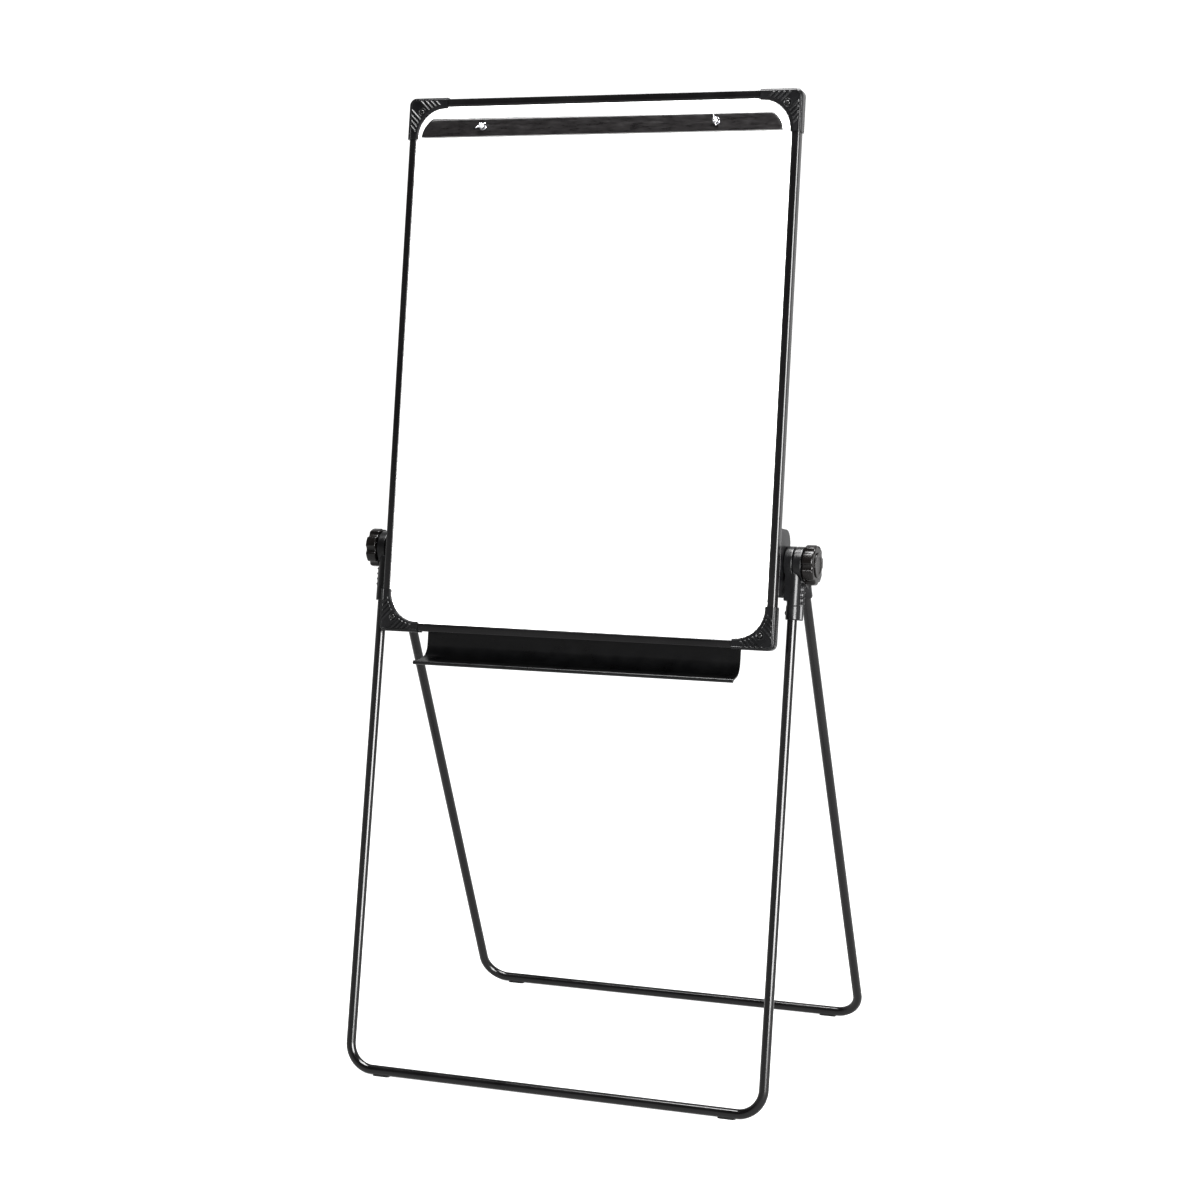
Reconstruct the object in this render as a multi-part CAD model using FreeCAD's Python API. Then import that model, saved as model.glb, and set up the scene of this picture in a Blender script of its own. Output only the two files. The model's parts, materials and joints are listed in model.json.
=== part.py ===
import FreeCAD, Part
import math
import os

# Flipchart easel, millimetres.  X is across, -Y is the front, +Z is up.
# The floor is z = 0 and the origin is under the middle of the whole easel.

Vector = FreeCAD.Vector
X_AXIS = Vector(1, 0, 0)

# ---------------------------------------------------------------- driving dimensions
# legs
HUB_HEIGHT = 861.0            # hub axis above the floor
FRONT_REACH = 188.0           # front cross tube ahead of the hub axis
REAR_REACH = 388.0            # rear cross tube behind the hub axis
LEG_HALF_WIDTH = 361.0        # centre plane of the leg tubes
LEG_OFFSET = 16.0             # leg centreline to hub axis, square to the leg
TUBE_RADIUS = 8.0
TUBE_WALL = 1.2
BEND_RADIUS = 42.0            # centreline of the bottom corners
GLIDE_LENGTH = 30.0
GLIDE_HALF_WIDTH = 5.0
GLIDE_HEIGHT = 5.0            # before the tube's round underside is cut out of it
GLIDE_SOLE = 1.2              # left under the tube, where the glide is thinnest
GLIDE_STUD_RADIUS = 2.0
GLIDE_STUD_TOP = 5.0
TUBE_CENTRE_HEIGHT = TUBE_RADIUS + GLIDE_SOLE

# hubs: what is stacked along X on each pivot bolt, from the board outwards
BRACKET_CHEEK = 6.5
CHEEK_OUTSIDE = 343.0
GAP = 0.1                     # between flat faces that slide on each other
FRONT_DISC_INSIDE = 344.0
DISC_THICKNESS = 14.0
MIDDLE_WASHER = 1.0
FRONT_DISC_OUTSIDE = FRONT_DISC_INSIDE + DISC_THICKNESS
REAR_DISC_INSIDE = FRONT_DISC_OUTSIDE + MIDDLE_WASHER + GAP
REAR_DISC_OUTSIDE = REAR_DISC_INSIDE + DISC_THICKNESS
KNOB_WASHER = 1.5
KNOB_INSIDE = REAR_DISC_OUTSIDE + GAP + KNOB_WASHER + GAP
KNOB_LENGTH = 18.5
KNOB_CAP_RISE = 1.8
DISC_RADIUS = 29.0
DISC_CLEARANCE = 0.8          # a socket keeps this far from the other leg's disc
SOCKET_RADIUS = 10.4
COLLAR_RADIUS = 11.2
COLLAR_HEIGHT = 22.0
FRONT_SOCKET_END = 90.0       # below the hub axis, along the leg
REAR_SOCKET_END = 70.0
TUBE_TOP = 32.0
WEB_END = 60.0
RIB_COLUMN_OUT = 11.4         # centre of the rib column beyond the leg's centre plane
RIB_COLUMN_AHEAD = 9.0        # and ahead of the hub axis
RIB_COLUMN_TOP = -34.0
RIB_COLUMN_RADIUS = 4.2
RIB_RADIUS = 6.2
RIB_HEIGHT = 2.6
RIB_PITCH = 8.6
RIB_COUNT = 4
SOCKET_SCREW_HEAD_RADIUS = 3.2
SOCKET_SCREW_HEAD_HEIGHT = 2.6
SOCKET_SCREW_RADIUS = 1.6
BOLT_RADIUS = 4.0
RUNNING_FIT = 0.06
BOLT_HEAD_RADIUS = 9.0
BOLT_HEAD_HEIGHT = 5.0
BOLT_HEAD_TOP_RADIUS = 6.0
BOLT_HEAD_RIM = 1.5
BOLT_END = 12.0               # into the knob
WASHER_RADIUS = 15.0
KNOB_WASHER_RADIUS = 12.0
KNOB_RADIUS = 32.5
KNOB_LOBES = 7
KNOB_EDGE = 3.0
FLUTE_RADIUS = 8.0
FLUTE_ORBIT = KNOB_RADIUS + 4.2
CAP_RADIUS = KNOB_RADIUS - 12.5
CAP_RECESS = 2.0
CAP_EDGE = 1.4
INSERT_RADIUS = 7.0
FOLD_ANGLE = 34.0             # the rear leg closes onto the front leg
STOP_PIN_RADIUS = 2.5
STOP_PIN_ORBIT = 19.0
STOP_PIN_ANGLE = 90.0
STOP_PIN_DEPTH = 6.0          # into each disc
STOP_SLOT_FIT = 0.35

# board
TILT = 9.8                    # leans back
BOARD_HALF_WIDTH = 343.0      # 27 in outside
BOARD_TOP = 756.0             # above the hub axis, along the board
BOARD_BOTTOM = -139.0
FACE_AHEAD = 58.0             # front of the frame ahead of the hub axis
FRAME_FACE = 13.2
FRAME_DEPTH = 18.0
LIP = 2.5                     # frame metal in front of the panel
PANEL_INSET = 4.0             # panel edge to the outside of the frame
SHEET = 1.0
CORE = 8.0
BACKER = 0.6
BRACKET_PROUD = 2.0           # corner brackets stand out round the frame
BRACKET_ARM = 70.0
BRACKET_INSIDE_PROUD = 2.5
BRACKET_ARC = 48.0
BRACKET_CORNER = 12.0
BRACKET_BEVEL_FRONT = 4.6
BRACKET_BEVEL_SIDE = 1.9
BRACKET_EDGE = 1.8
CORNER_RIB_HEIGHT = 0.9
CORNER_RIB_PITCH = 5.6
CORNER_RIB_COUNT = 3          # each side of the screw
CORNER_RIB_FIRST = 14.0       # from the screw, square to the ribs
CORNER_RIB_HALF_LENGTH = 24.0
CORNER_RIB_HALF_WIDTH = 0.8
CORNER_RIB_MIDDLE = 16.0      # middle of the diagonal, in from the outer edges
CORNER_RIB_MARGIN = 2.6
FRAME_END_INSET = 30.0        # frame sections stop this far from the corner
CORNER_SCREW_INSET = 22.0
CORNER_SCREW_HEAD_RADIUS = 4.2
CORNER_SCREW_RADIUS = 1.9
PIVOT_BRACKET_HALF = 55.0
PIVOT_BRACKET_BACK = 11.0     # behind the hub axis
PIVOT_BRACKET_CORNER = 24.0
PIVOT_FLANGE_INSIDE = 318.0
PIVOT_FLANGE = 4.0
PIVOT_FLANGE_CORNER = 8.0
PIVOT_SCREW_X = 332.0
PIVOT_SCREW_Z = 43.0
GUSSET_BACK = -14.0
GUSSET_LENGTH = 12.0
GUSSET_THICKNESS = 4.0

# pad clamp
CLAMP_BOTTOM = 690.0
CLAMP_TOP = 721.5
CLAMP_HALF_BOTTOM = 317.0
CLAMP_HALF_TOP = 298.0
CLAMP_DEPTH = 9.0
CLAMP_WALL = 1.8
CLAMP_END_BULGE = 4.8
CLAMP_TOP_ROUND = 3.2
CLAMP_BOTTOM_ROUND = 1.5
CLAMP_BOSS_RADIUS = 6.0
CLAMP_WASHER = 0.8
CLAMP_WASHER_RADIUS = 6.2
GRIP = 1.4
CLAMP_TRAVEL = 6.0
STUD_SPACING = 410.0
STUD_HEIGHT = 706.0
STUD_RADIUS = 2.5
STUD_CLEARANCE = 0.4
STUD_HEAD_RADIUS = 7.0
STUD_HEAD_HEIGHT = 1.8
NUT_LENGTH = 7.0
NUT_SPAN = 21.0
NUT_BASE_RADIUS = 5.2
NUT_TOP_RADIUS = 4.2
WING_REACH = 12.0             # ahead of the nut's back
WING_TURN_RIGHT = 78.0
WING_TURN_LEFT = 28.0

# marker tray
TRAY_HALF_LENGTH = 280.0      # at the lip
TRAY_END_SLANT = 4.0          # shorter by this at the back, at each end
TRAY_THICKNESS = 2.0
TRAY_DEPTH = 48.0
TRAY_BEAD_RADIUS = 3.3
TRAY_LIP_HEIGHT = -191.0
TRAY_FLANGE = 18.0            # up behind the bottom rail
TRAY_WALL_END = 12.0          # above the lip, where the back wall turns into the trough
TRAY_SCREWS = 4
TRAY_SCREW_SPACING = 160.0
BACK_SCREW_HEAD_HEIGHT = 2.0
BACK_SCREW_RADIUS = 1.6
BACK_SCREW_DEPTH = 4.6        # into the frame

# ---------------------------------------------------------------- worked out from them
HUB_Y = (FRONT_REACH - REAR_REACH) / 2.0
HUB = Vector(0, HUB_Y, HUB_HEIGHT)
FACE_Y = -FACE_AHEAD
FRAME_BACK_Y = FACE_Y + FRAME_DEPTH
PANEL_FRONT_Y = FACE_Y + LIP
CORE_FRONT_Y = PANEL_FRONT_Y + SHEET
BACKER_FRONT_Y = CORE_FRONT_Y + CORE
PANEL_BACK_Y = BACKER_FRONT_Y + BACKER
BOARD_MIDDLE = (BOARD_TOP + BOARD_BOTTOM) / 2.0
CLAMP_BACK_Y = PANEL_FRONT_Y - 0.2 - GRIP
CLAMP_FRONT_Y = CLAMP_BACK_Y - CLAMP_DEPTH
NUT_BACK_Y = CLAMP_FRONT_Y - CLAMP_WASHER - GAP
CLAMP_STUD_X = STUD_SPACING / 2.0
TRAY_BACK_Y = FACE_Y + TRAY_DEPTH


def leg_length(reach):
    """Hub axis to cross tube, measured along the leg."""
    drop = HUB_HEIGHT - TUBE_CENTRE_HEIGHT
    return math.sqrt(reach ** 2 + drop ** 2 - LEG_OFFSET ** 2)


def leg_lean(reach):
    """Angle of the leg from the vertical, in degrees."""
    drop = HUB_HEIGHT - TUBE_CENTRE_HEIGHT
    return math.degrees(math.atan2(reach, drop) - math.atan2(LEG_OFFSET, leg_length(reach)))


# ---------------------------------------------------------------- small helpers
def box(x0, x1, y0, y1, z0, z1):
    return Part.makeBox(x1 - x0, y1 - y0, z1 - z0, Vector(x0, y0, z0))


def rod_x(x0, x1, radius, y=0.0, z=0.0):
    return Part.makeCylinder(radius, x1 - x0, Vector(x0, y, z), X_AXIS)


def rod_y(y0, y1, radius, x=0.0, z=0.0):
    return Part.makeCylinder(radius, y1 - y0, Vector(x, y0, z), Vector(0, 1, 0))


def rod_z(z0, z1, radius, x=0.0, y=0.0):
    return Part.makeCylinder(radius, z1 - z0, Vector(x, y, z0), Vector(0, 0, 1))


def washer_x(x0, x1, radius, bore):
    return rod_x(x0, x1, radius).cut(rod_x(x0, x1, bore))


def mirror_x(shape):
    return shape.mirror(Vector(0, 0, 0), X_AXIS)


def mirror_board_height(shape):
    return shape.mirror(Vector(0, 0, BOARD_MIDDLE), Vector(0, 0, 1))


def prism_x(points, x0, x1):
    """A polygon of (y, z) points carried from x0 to x1."""
    corners = [Vector(x0, y, z) for y, z in points]
    face = Part.Face(Part.makePolygon(corners + [corners[0]]))
    return face.extrude(Vector(x1 - x0, 0, 0))


def edges_where(shape, test):
    return [edge for edge in shape.Edges if test(edge.BoundBox)]


def save(name, shape):
    if not shape.isValid():
        raise ValueError(name + " is not a valid shape")
    shape.exportStep("parts/" + name + ".step")


def on_hub(shape, angle):
    """Turn a shape made round the origin about X, and carry it to the hub axis."""
    placed = shape.copy()
    placed.rotate(Vector(0, 0, 0), X_AXIS, angle)
    placed.translate(HUB)
    return placed


def on_front_leg(shape):
    return on_hub(shape, -leg_lean(FRONT_REACH))


def on_rear_leg(shape):
    return on_hub(shape, leg_lean(REAR_REACH))


def on_board(shape):
    return on_hub(shape, -TILT)


# ---------------------------------------------------------------- legs
def tube_ring(centre, direction):
    """Cross-section of the tube wall, square to a direction."""
    outer = Part.Wire(Part.makeCircle(TUBE_RADIUS, centre, direction))
    inner = Part.Wire(Part.makeCircle(TUBE_RADIUS - TUBE_WALL, centre, direction))
    return Part.Face(outer).cut(Part.Face(inner))


def leg_tube(length, y):
    """Open U, from one socket down, across and up to the other socket."""
    w = LEG_HALF_WIDTH
    r = BEND_RADIUS
    down = Vector(0, 0, -1)
    turn = Vector(0, -1, 0)
    drop = length - r - TUBE_TOP
    left = tube_ring(Vector(-w, y, -TUBE_TOP), down).extrude(down * drop)
    left_bend = tube_ring(Vector(-w, y, -length + r), down).revolve(Vector(-w + r, y, -length + r), turn, 90)
    cross = tube_ring(Vector(-w + r, y, -length), X_AXIS).extrude(X_AXIS * (2 * (w - r)))
    tube = left.fuse(left_bend).fuse(mirror_x(left)).fuse(mirror_x(left_bend)).fuse(cross)
    return tube.removeSplitter()


def glide(reach_y):
    """Saddle pad under the right end of a cross tube, held by a stud through the tube wall."""
    x1 = LEG_HALF_WIDTH - BEND_RADIUS - 2.0
    x0 = x1 - GLIDE_LENGTH
    pad = box(x0, x1, reach_y - GLIDE_HALF_WIDTH, reach_y + GLIDE_HALF_WIDTH, 0, GLIDE_HEIGHT)
    upright_edges = edges_where(pad, lambda b: b.ZLength > 1)
    pad = pad.makeFillet(GLIDE_HALF_WIDTH - 0.5, upright_edges)
    pad = pad.cut(rod_x(x0, x1, TUBE_RADIUS, reach_y, TUBE_CENTRE_HEIGHT))
    stud = rod_z(0.5, GLIDE_STUD_TOP, GLIDE_STUD_RADIUS, (x0 + x1) / 2.0, reach_y)
    return pad.fuse(stud).removeSplitter()


def socket(y, end):
    """Solid sleeve for the leg tube, with a collar at its lower end."""
    body = rod_z(-end, -4.0, SOCKET_RADIUS, LEG_HALF_WIDTH, y)
    collar = rod_z(-end, -end + COLLAR_HEIGHT, COLLAR_RADIUS, LEG_HALF_WIDTH, y)
    return body.fuse(collar)


def hub_web(x0, x1, side):
    """Plate that joins a hub disc to its socket, clear of the other leg when it folds."""
    inner = -2.0 * side
    outer = (LEG_OFFSET + SOCKET_RADIUS - 1.0) * side
    points = [(inner, 0), (outer, 0), (outer, -WEB_END), (LEG_OFFSET * side, -WEB_END)]
    points.append((inner, -WEB_END + 22.0))
    return prism_x(points, x0, x1)


def rib_column():
    """Serrated thumb column on the outer side of the front socket."""
    x = LEG_HALF_WIDTH + RIB_COLUMN_OUT
    y = -RIB_COLUMN_AHEAD
    column = rod_z(-FRONT_SOCKET_END, RIB_COLUMN_TOP, RIB_COLUMN_RADIUS, x, y)
    for number in range(RIB_COUNT):
        place = Vector(x, y, RIB_COLUMN_TOP - 1.5 - number * RIB_PITCH)
        rib = Part.makeCone(RIB_RADIUS, RIB_COLUMN_RADIUS + 0.2, RIB_HEIGHT, place, Vector(0, 0, -1))
        column = column.fuse(rib)
    return column


def front_hub():
    disc = rod_x(FRONT_DISC_INSIDE, FRONT_DISC_OUTSIDE, DISC_RADIUS)
    sleeve = socket(-LEG_OFFSET, FRONT_SOCKET_END).fuse(rib_column())
    other_disc = rod_x(FRONT_DISC_OUTSIDE, KNOB_INSIDE + KNOB_LENGTH, DISC_RADIUS + DISC_CLEARANCE)
    web = hub_web(FRONT_DISC_INSIDE + 3.0, FRONT_DISC_OUTSIDE, -1)
    hub = sleeve.cut(other_disc).fuse(disc).fuse(web)
    hub = hub.cut(rod_z(-FRONT_SOCKET_END, -TUBE_TOP, TUBE_RADIUS, LEG_HALF_WIDTH, -LEG_OFFSET))
    hub = hub.cut(rod_x(FRONT_DISC_INSIDE, FRONT_DISC_OUTSIDE, BOLT_RADIUS))
    hub = hub.cut(stop_pin())
    return hub.cut(socket_screw(-LEG_OFFSET, FRONT_SOCKET_END)).removeSplitter()


def stop_slot():
    """Curved slot in the rear disc, where the stop pin runs as the rear leg folds."""
    radius = STOP_PIN_RADIUS + STOP_SLOT_FIT
    x0 = REAR_DISC_INSIDE
    x1 = REAR_DISC_INSIDE + STOP_PIN_DEPTH + 0.5
    start = STOP_PIN_ANGLE - leg_lean(REAR_REACH)
    ring = rod_x(x0, x1, STOP_PIN_ORBIT + radius).cut(rod_x(x0, x1, STOP_PIN_ORBIT - radius))
    far = STOP_PIN_ORBIT * 3
    rays = [(0.0, 0.0)]
    for step in range(5):
        angle = math.radians(start + FOLD_ANGLE * step / 4.0)
        rays.append((far * math.cos(angle), far * math.sin(angle)))
    slot = ring.common(prism_x(rays, x0, x1))
    for angle in (math.radians(start), math.radians(start + FOLD_ANGLE)):
        y = STOP_PIN_ORBIT * math.cos(angle)
        z = STOP_PIN_ORBIT * math.sin(angle)
        slot = slot.fuse(rod_x(x0, x1, radius, y, z))
    return slot


def stop_pin():
    """Steel pin in the front disc, made in the front leg's frame."""
    angle = math.radians(STOP_PIN_ANGLE + leg_lean(FRONT_REACH))
    y = STOP_PIN_ORBIT * math.cos(angle)
    z = STOP_PIN_ORBIT * math.sin(angle)
    x0 = FRONT_DISC_OUTSIDE - STOP_PIN_DEPTH
    x1 = REAR_DISC_INSIDE + STOP_PIN_DEPTH
    return rod_x(x0, x1, STOP_PIN_RADIUS, y, z)


def rear_hub():
    disc = rod_x(REAR_DISC_INSIDE, REAR_DISC_OUTSIDE, DISC_RADIUS)
    sleeve = socket(LEG_OFFSET, REAR_SOCKET_END)
    other_disc = rod_x(CHEEK_OUTSIDE, REAR_DISC_INSIDE, DISC_RADIUS + DISC_CLEARANCE)
    web = hub_web(REAR_DISC_INSIDE, REAR_DISC_OUTSIDE - 3.0, 1)
    hub = sleeve.cut(other_disc).fuse(disc).fuse(web)
    hub = hub.cut(rod_z(-REAR_SOCKET_END, -TUBE_TOP, TUBE_RADIUS, LEG_HALF_WIDTH, LEG_OFFSET))
    hub = hub.cut(rod_x(REAR_DISC_INSIDE, REAR_DISC_OUTSIDE, BOLT_RADIUS + RUNNING_FIT))
    hub = hub.cut(stop_slot())
    return hub.cut(socket_screw(LEG_OFFSET, REAR_SOCKET_END)).removeSplitter()


def socket_screw(y, end):
    """Self-tapping screw that holds the tube in its socket, from the inner side."""
    z = -end + COLLAR_HEIGHT / 2.0
    head_x = LEG_HALF_WIDTH - COLLAR_RADIUS - 1.0
    shank_x = head_x + SOCKET_SCREW_HEAD_HEIGHT
    head = rod_x(head_x, shank_x, SOCKET_SCREW_HEAD_RADIUS, y, z)
    shank = rod_x(shank_x, LEG_HALF_WIDTH - TUBE_RADIUS / 2.0, SOCKET_SCREW_RADIUS, y, z)
    return head.fuse(shank)


def pivot_bolt():
    head_x = CHEEK_OUTSIDE - BRACKET_CHEEK - GAP
    shank = rod_x(head_x, KNOB_INSIDE + BOLT_END, BOLT_RADIUS)
    head_end = Vector(head_x - BOLT_HEAD_HEIGHT, 0, 0)
    slope = BOLT_HEAD_HEIGHT - BOLT_HEAD_RIM
    head = Part.makeCone(BOLT_HEAD_TOP_RADIUS, BOLT_HEAD_RADIUS, slope, head_end, X_AXIS)
    rim = rod_x(head_x - BOLT_HEAD_RIM, head_x, BOLT_HEAD_RADIUS)
    return shank.fuse(head).fuse(rim).removeSplitter()


def friction_washers():
    """Two identical thin washers on one bolt."""
    thickness = MIDDLE_WASHER - GAP
    starts = (FRONT_DISC_INSIDE - thickness, FRONT_DISC_OUTSIDE)
    return [washer_x(x, x + thickness, WASHER_RADIUS, BOLT_RADIUS) for x in starts]


# ---------------------------------------------------------------- knobs
def knob_body():
    x0 = KNOB_INSIDE
    x1 = KNOB_INSIDE + KNOB_LENGTH
    body = rod_x(x0, x1, KNOB_RADIUS)
    rims = edges_where(body, lambda b: b.YLength > KNOB_RADIUS)
    body = body.makeFillet(KNOB_EDGE, rims)
    for lobe in range(KNOB_LOBES):
        angle = 2 * math.pi * (lobe + 0.5) / KNOB_LOBES
        y = FLUTE_ORBIT * math.cos(angle)
        z = FLUTE_ORBIT * math.sin(angle)
        body = body.cut(rod_x(x0, x1, FLUTE_RADIUS, y, z))
    body = body.cut(rod_x(x0, x1, INSERT_RADIUS))
    return body.cut(rod_x(x1 - CAP_RECESS, x1, CAP_RADIUS))


def knob_insert():
    x1 = KNOB_INSIDE + KNOB_LENGTH - CAP_RECESS - 1.0
    insert = rod_x(KNOB_INSIDE, x1, INSERT_RADIUS)
    return insert.cut(rod_x(KNOB_INSIDE, x1, BOLT_RADIUS + RUNNING_FIT))


def knob_cap():
    x0 = KNOB_INSIDE + KNOB_LENGTH - CAP_RECESS
    cap = rod_x(x0, x0 + CAP_RECESS + KNOB_CAP_RISE, CAP_RADIUS)
    rim = edges_where(cap, lambda b: b.XMin > x0 + CAP_RECESS and b.YLength > CAP_RADIUS)
    return cap.makeFillet(CAP_EDGE, rim)


# ---------------------------------------------------------------- board
def frame_section(x0, x1, z0, z1, inner_side):
    """One straight length of frame, slotted for the panel on its inner side."""
    bar = box(x0, x1, FACE_Y, FRAME_BACK_Y, z0, z1)
    upright = (z1 - z0) > (x1 - x0)
    if upright:
        long_edges = edges_where(bar, lambda b: b.ZLength > FRAME_FACE * 2)
    else:
        long_edges = edges_where(bar, lambda b: b.XLength > FRAME_FACE * 2)
    bar = bar.makeFillet(2.4, long_edges)
    depth = FRAME_FACE - PANEL_INSET
    if inner_side == "left":
        return bar.cut(box(x0, x0 + depth, PANEL_FRONT_Y, PANEL_BACK_Y, z0, z1))
    if inner_side == "right":
        return bar.cut(box(x1 - depth, x1, PANEL_FRONT_Y, PANEL_BACK_Y, z0, z1))
    if inner_side == "down":
        return bar.cut(box(x0, x1, PANEL_FRONT_Y, PANEL_BACK_Y, z0, z0 + depth))
    return bar.cut(box(x0, x1, PANEL_FRONT_Y, PANEL_BACK_Y, z1 - depth, z1))


def frame_sections():
    w = BOARD_HALF_WIDTH
    low = BOARD_BOTTOM + FRAME_END_INSET
    high = BOARD_TOP - FRAME_END_INSET
    end = w - FRAME_END_INSET
    return {
        "frame_stile_left": frame_section(-w, -w + FRAME_FACE, low, high, "right"),
        "frame_stile_right": frame_section(w - FRAME_FACE, w, low, high, "left"),
        "frame_rail_top": frame_section(-end, end, BOARD_TOP - FRAME_FACE, BOARD_TOP, "down"),
        "frame_rail_bottom": frame_section(-end, end, BOARD_BOTTOM, BOARD_BOTTOM + FRAME_FACE, "up"),
    }


def panel_layer(y0, y1):
    w = BOARD_HALF_WIDTH - PANEL_INSET
    layer = box(-w, w, y0, y1, BOARD_BOTTOM + PANEL_INSET, BOARD_TOP - PANEL_INSET)
    for hole in corner_screws() + clamp_studs():
        layer = layer.cut(hole)
    return layer


def corner_outline():
    """Top right corner bracket seen from the front, as a wire at y = 0."""
    xo = BOARD_HALF_WIDTH + BRACKET_PROUD
    zo = BOARD_TOP + BRACKET_PROUD
    width = FRAME_FACE + BRACKET_PROUD + BRACKET_INSIDE_PROUD
    xi = xo - width
    zi = zo - width
    round_off = BRACKET_CORNER
    half = math.sqrt(0.5)
    xa = xi - BRACKET_ARC
    za = zi - BRACKET_ARC

    def at(x, z):
        return Vector(x, 0, z)

    outer_mid = at(xo - round_off * (1 - half), zo - round_off * (1 - half))
    inner_mid = at(xa + BRACKET_ARC * half, za + BRACKET_ARC * half)
    return Part.Wire([
        Part.makeLine(at(xo - BRACKET_ARM, zo), at(xo - round_off, zo)),
        Part.Arc(at(xo - round_off, zo), outer_mid, at(xo, zo - round_off)).toShape(),
        Part.makeLine(at(xo, zo - round_off), at(xo, zo - BRACKET_ARM)),
        Part.makeLine(at(xo, zo - BRACKET_ARM), at(xi, zo - BRACKET_ARM)),
        Part.makeLine(at(xi, zo - BRACKET_ARM), at(xi, za)),
        Part.Arc(at(xi, za), inner_mid, at(xa, zi)).toShape(),
        Part.makeLine(at(xa, zi), at(xo - BRACKET_ARM, zi)),
        Part.makeLine(at(xo - BRACKET_ARM, zi), at(xo - BRACKET_ARM, zo)),
    ])


def corner_ribs(front_y):
    """Raised ribs that run parallel to the corner's diagonal, two sets beside the screw."""
    middle_x = BOARD_HALF_WIDTH + BRACKET_PROUD - CORNER_RIB_MIDDLE
    middle_z = BOARD_TOP + BRACKET_PROUD - CORNER_RIB_MIDDLE
    length = CORNER_RIB_HALF_LENGTH
    width = CORNER_RIB_HALF_WIDTH
    half = math.sqrt(0.5)
    ribs = []
    for side in (-1, 1):
        for number in range(CORNER_RIB_COUNT):
            shift = side * (CORNER_RIB_FIRST + number * CORNER_RIB_PITCH) * half
            rib = box(-length, length, front_y - CORNER_RIB_HEIGHT, front_y + 0.5, -width, width)
            crest = edges_where(rib, lambda b: b.XLength > length and b.YMax < front_y)
            rib = rib.makeFillet(0.6, crest)
            rib.rotate(Vector(0, 0, 0), Vector(0, 1, 0), -45)
            rib.translate(Vector(middle_x + shift, 0, middle_z - shift))
            ribs.append(rib)
    return ribs


def corner_bracket(frame):
    """Moulded cap over the top right corner of the frame."""
    front_y = FACE_Y - BRACKET_PROUD
    back_y = FRAME_BACK_Y + BRACKET_PROUD
    outline = corner_outline()
    outline.translate(Vector(0, front_y, 0))
    body = Part.Face(outline).extrude(Vector(0, back_y - front_y, 0))
    xi = BOARD_HALF_WIDTH - FRAME_FACE - BRACKET_INSIDE_PROUD
    zi = BOARD_TOP - FRAME_FACE - BRACKET_INSIDE_PROUD
    inner_edges = []
    for edge in body.Edges:
        b = edge.BoundBox
        in_front = b.YMax < front_y + 0.1
        inside = b.XMax < xi + 0.1 and b.ZMax < zi + 0.1
        if in_front and inside:
            inner_edges.append(edge)
    body = body.makeChamfer(BRACKET_BEVEL_SIDE, BRACKET_BEVEL_FRONT, inner_edges)
    outside = []
    for edge in body.Edges:
        b = edge.BoundBox
        on_a_face = b.YLength < 0.1
        on_rim = b.XMin > BOARD_HALF_WIDTH - BRACKET_CORNER or b.ZMin > BOARD_TOP - BRACKET_CORNER
        if on_a_face and on_rim and b.DiagonalLength > BRACKET_CORNER:
            outside.append(edge)
    body = body.makeFillet(BRACKET_EDGE, outside)
    inset = Part.Face(outline.makeOffset2D(-CORNER_RIB_MARGIN)).extrude(Vector(0, -3.0, 0))
    for rib in corner_ribs(front_y):
        body = body.fuse(rib.common(inset))
    w = BOARD_HALF_WIDTH - PANEL_INSET
    body = body.cut(box(0, w, PANEL_FRONT_Y, PANEL_BACK_Y, 0, BOARD_TOP - PANEL_INSET))
    body = body.cut(frame["frame_stile_right"]).cut(frame["frame_rail_top"])
    return body.cut(corner_screw(BOARD_HALF_WIDTH - CORNER_SCREW_INSET, BOARD_TOP - CORNER_SCREW_INSET))


def corner_screw(x, z):
    """Pan head screw from the front of a corner bracket into its back wall."""
    front_y = FACE_Y - BRACKET_PROUD
    head = rod_y(front_y - 1.6, front_y + 0.8, CORNER_SCREW_HEAD_RADIUS, x, z)
    dome = edges_where(head, lambda b: b.YMax < front_y - 1.0 and b.XLength > 4)
    head = head.makeFillet(1.2, dome)
    shank = rod_y(front_y + 0.8, FRAME_BACK_Y + 0.5, CORNER_SCREW_RADIUS, x, z)
    recess = box(x - 2.4, x + 2.4, front_y - 2.0, front_y - 0.7, z - 0.5, z + 0.5)
    cross = box(x - 0.5, x + 0.5, front_y - 2.0, front_y - 0.7, z - 2.4, z + 2.4)
    return head.fuse(shank).cut(recess).cut(cross)


def corner_screws():
    x = BOARD_HALF_WIDTH - CORNER_SCREW_INSET
    top = BOARD_TOP - CORNER_SCREW_INSET
    bottom = BOARD_BOTTOM + CORNER_SCREW_INSET
    return [corner_screw(sx, z) for sx in (-x, x) for z in (top, bottom)]


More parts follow.
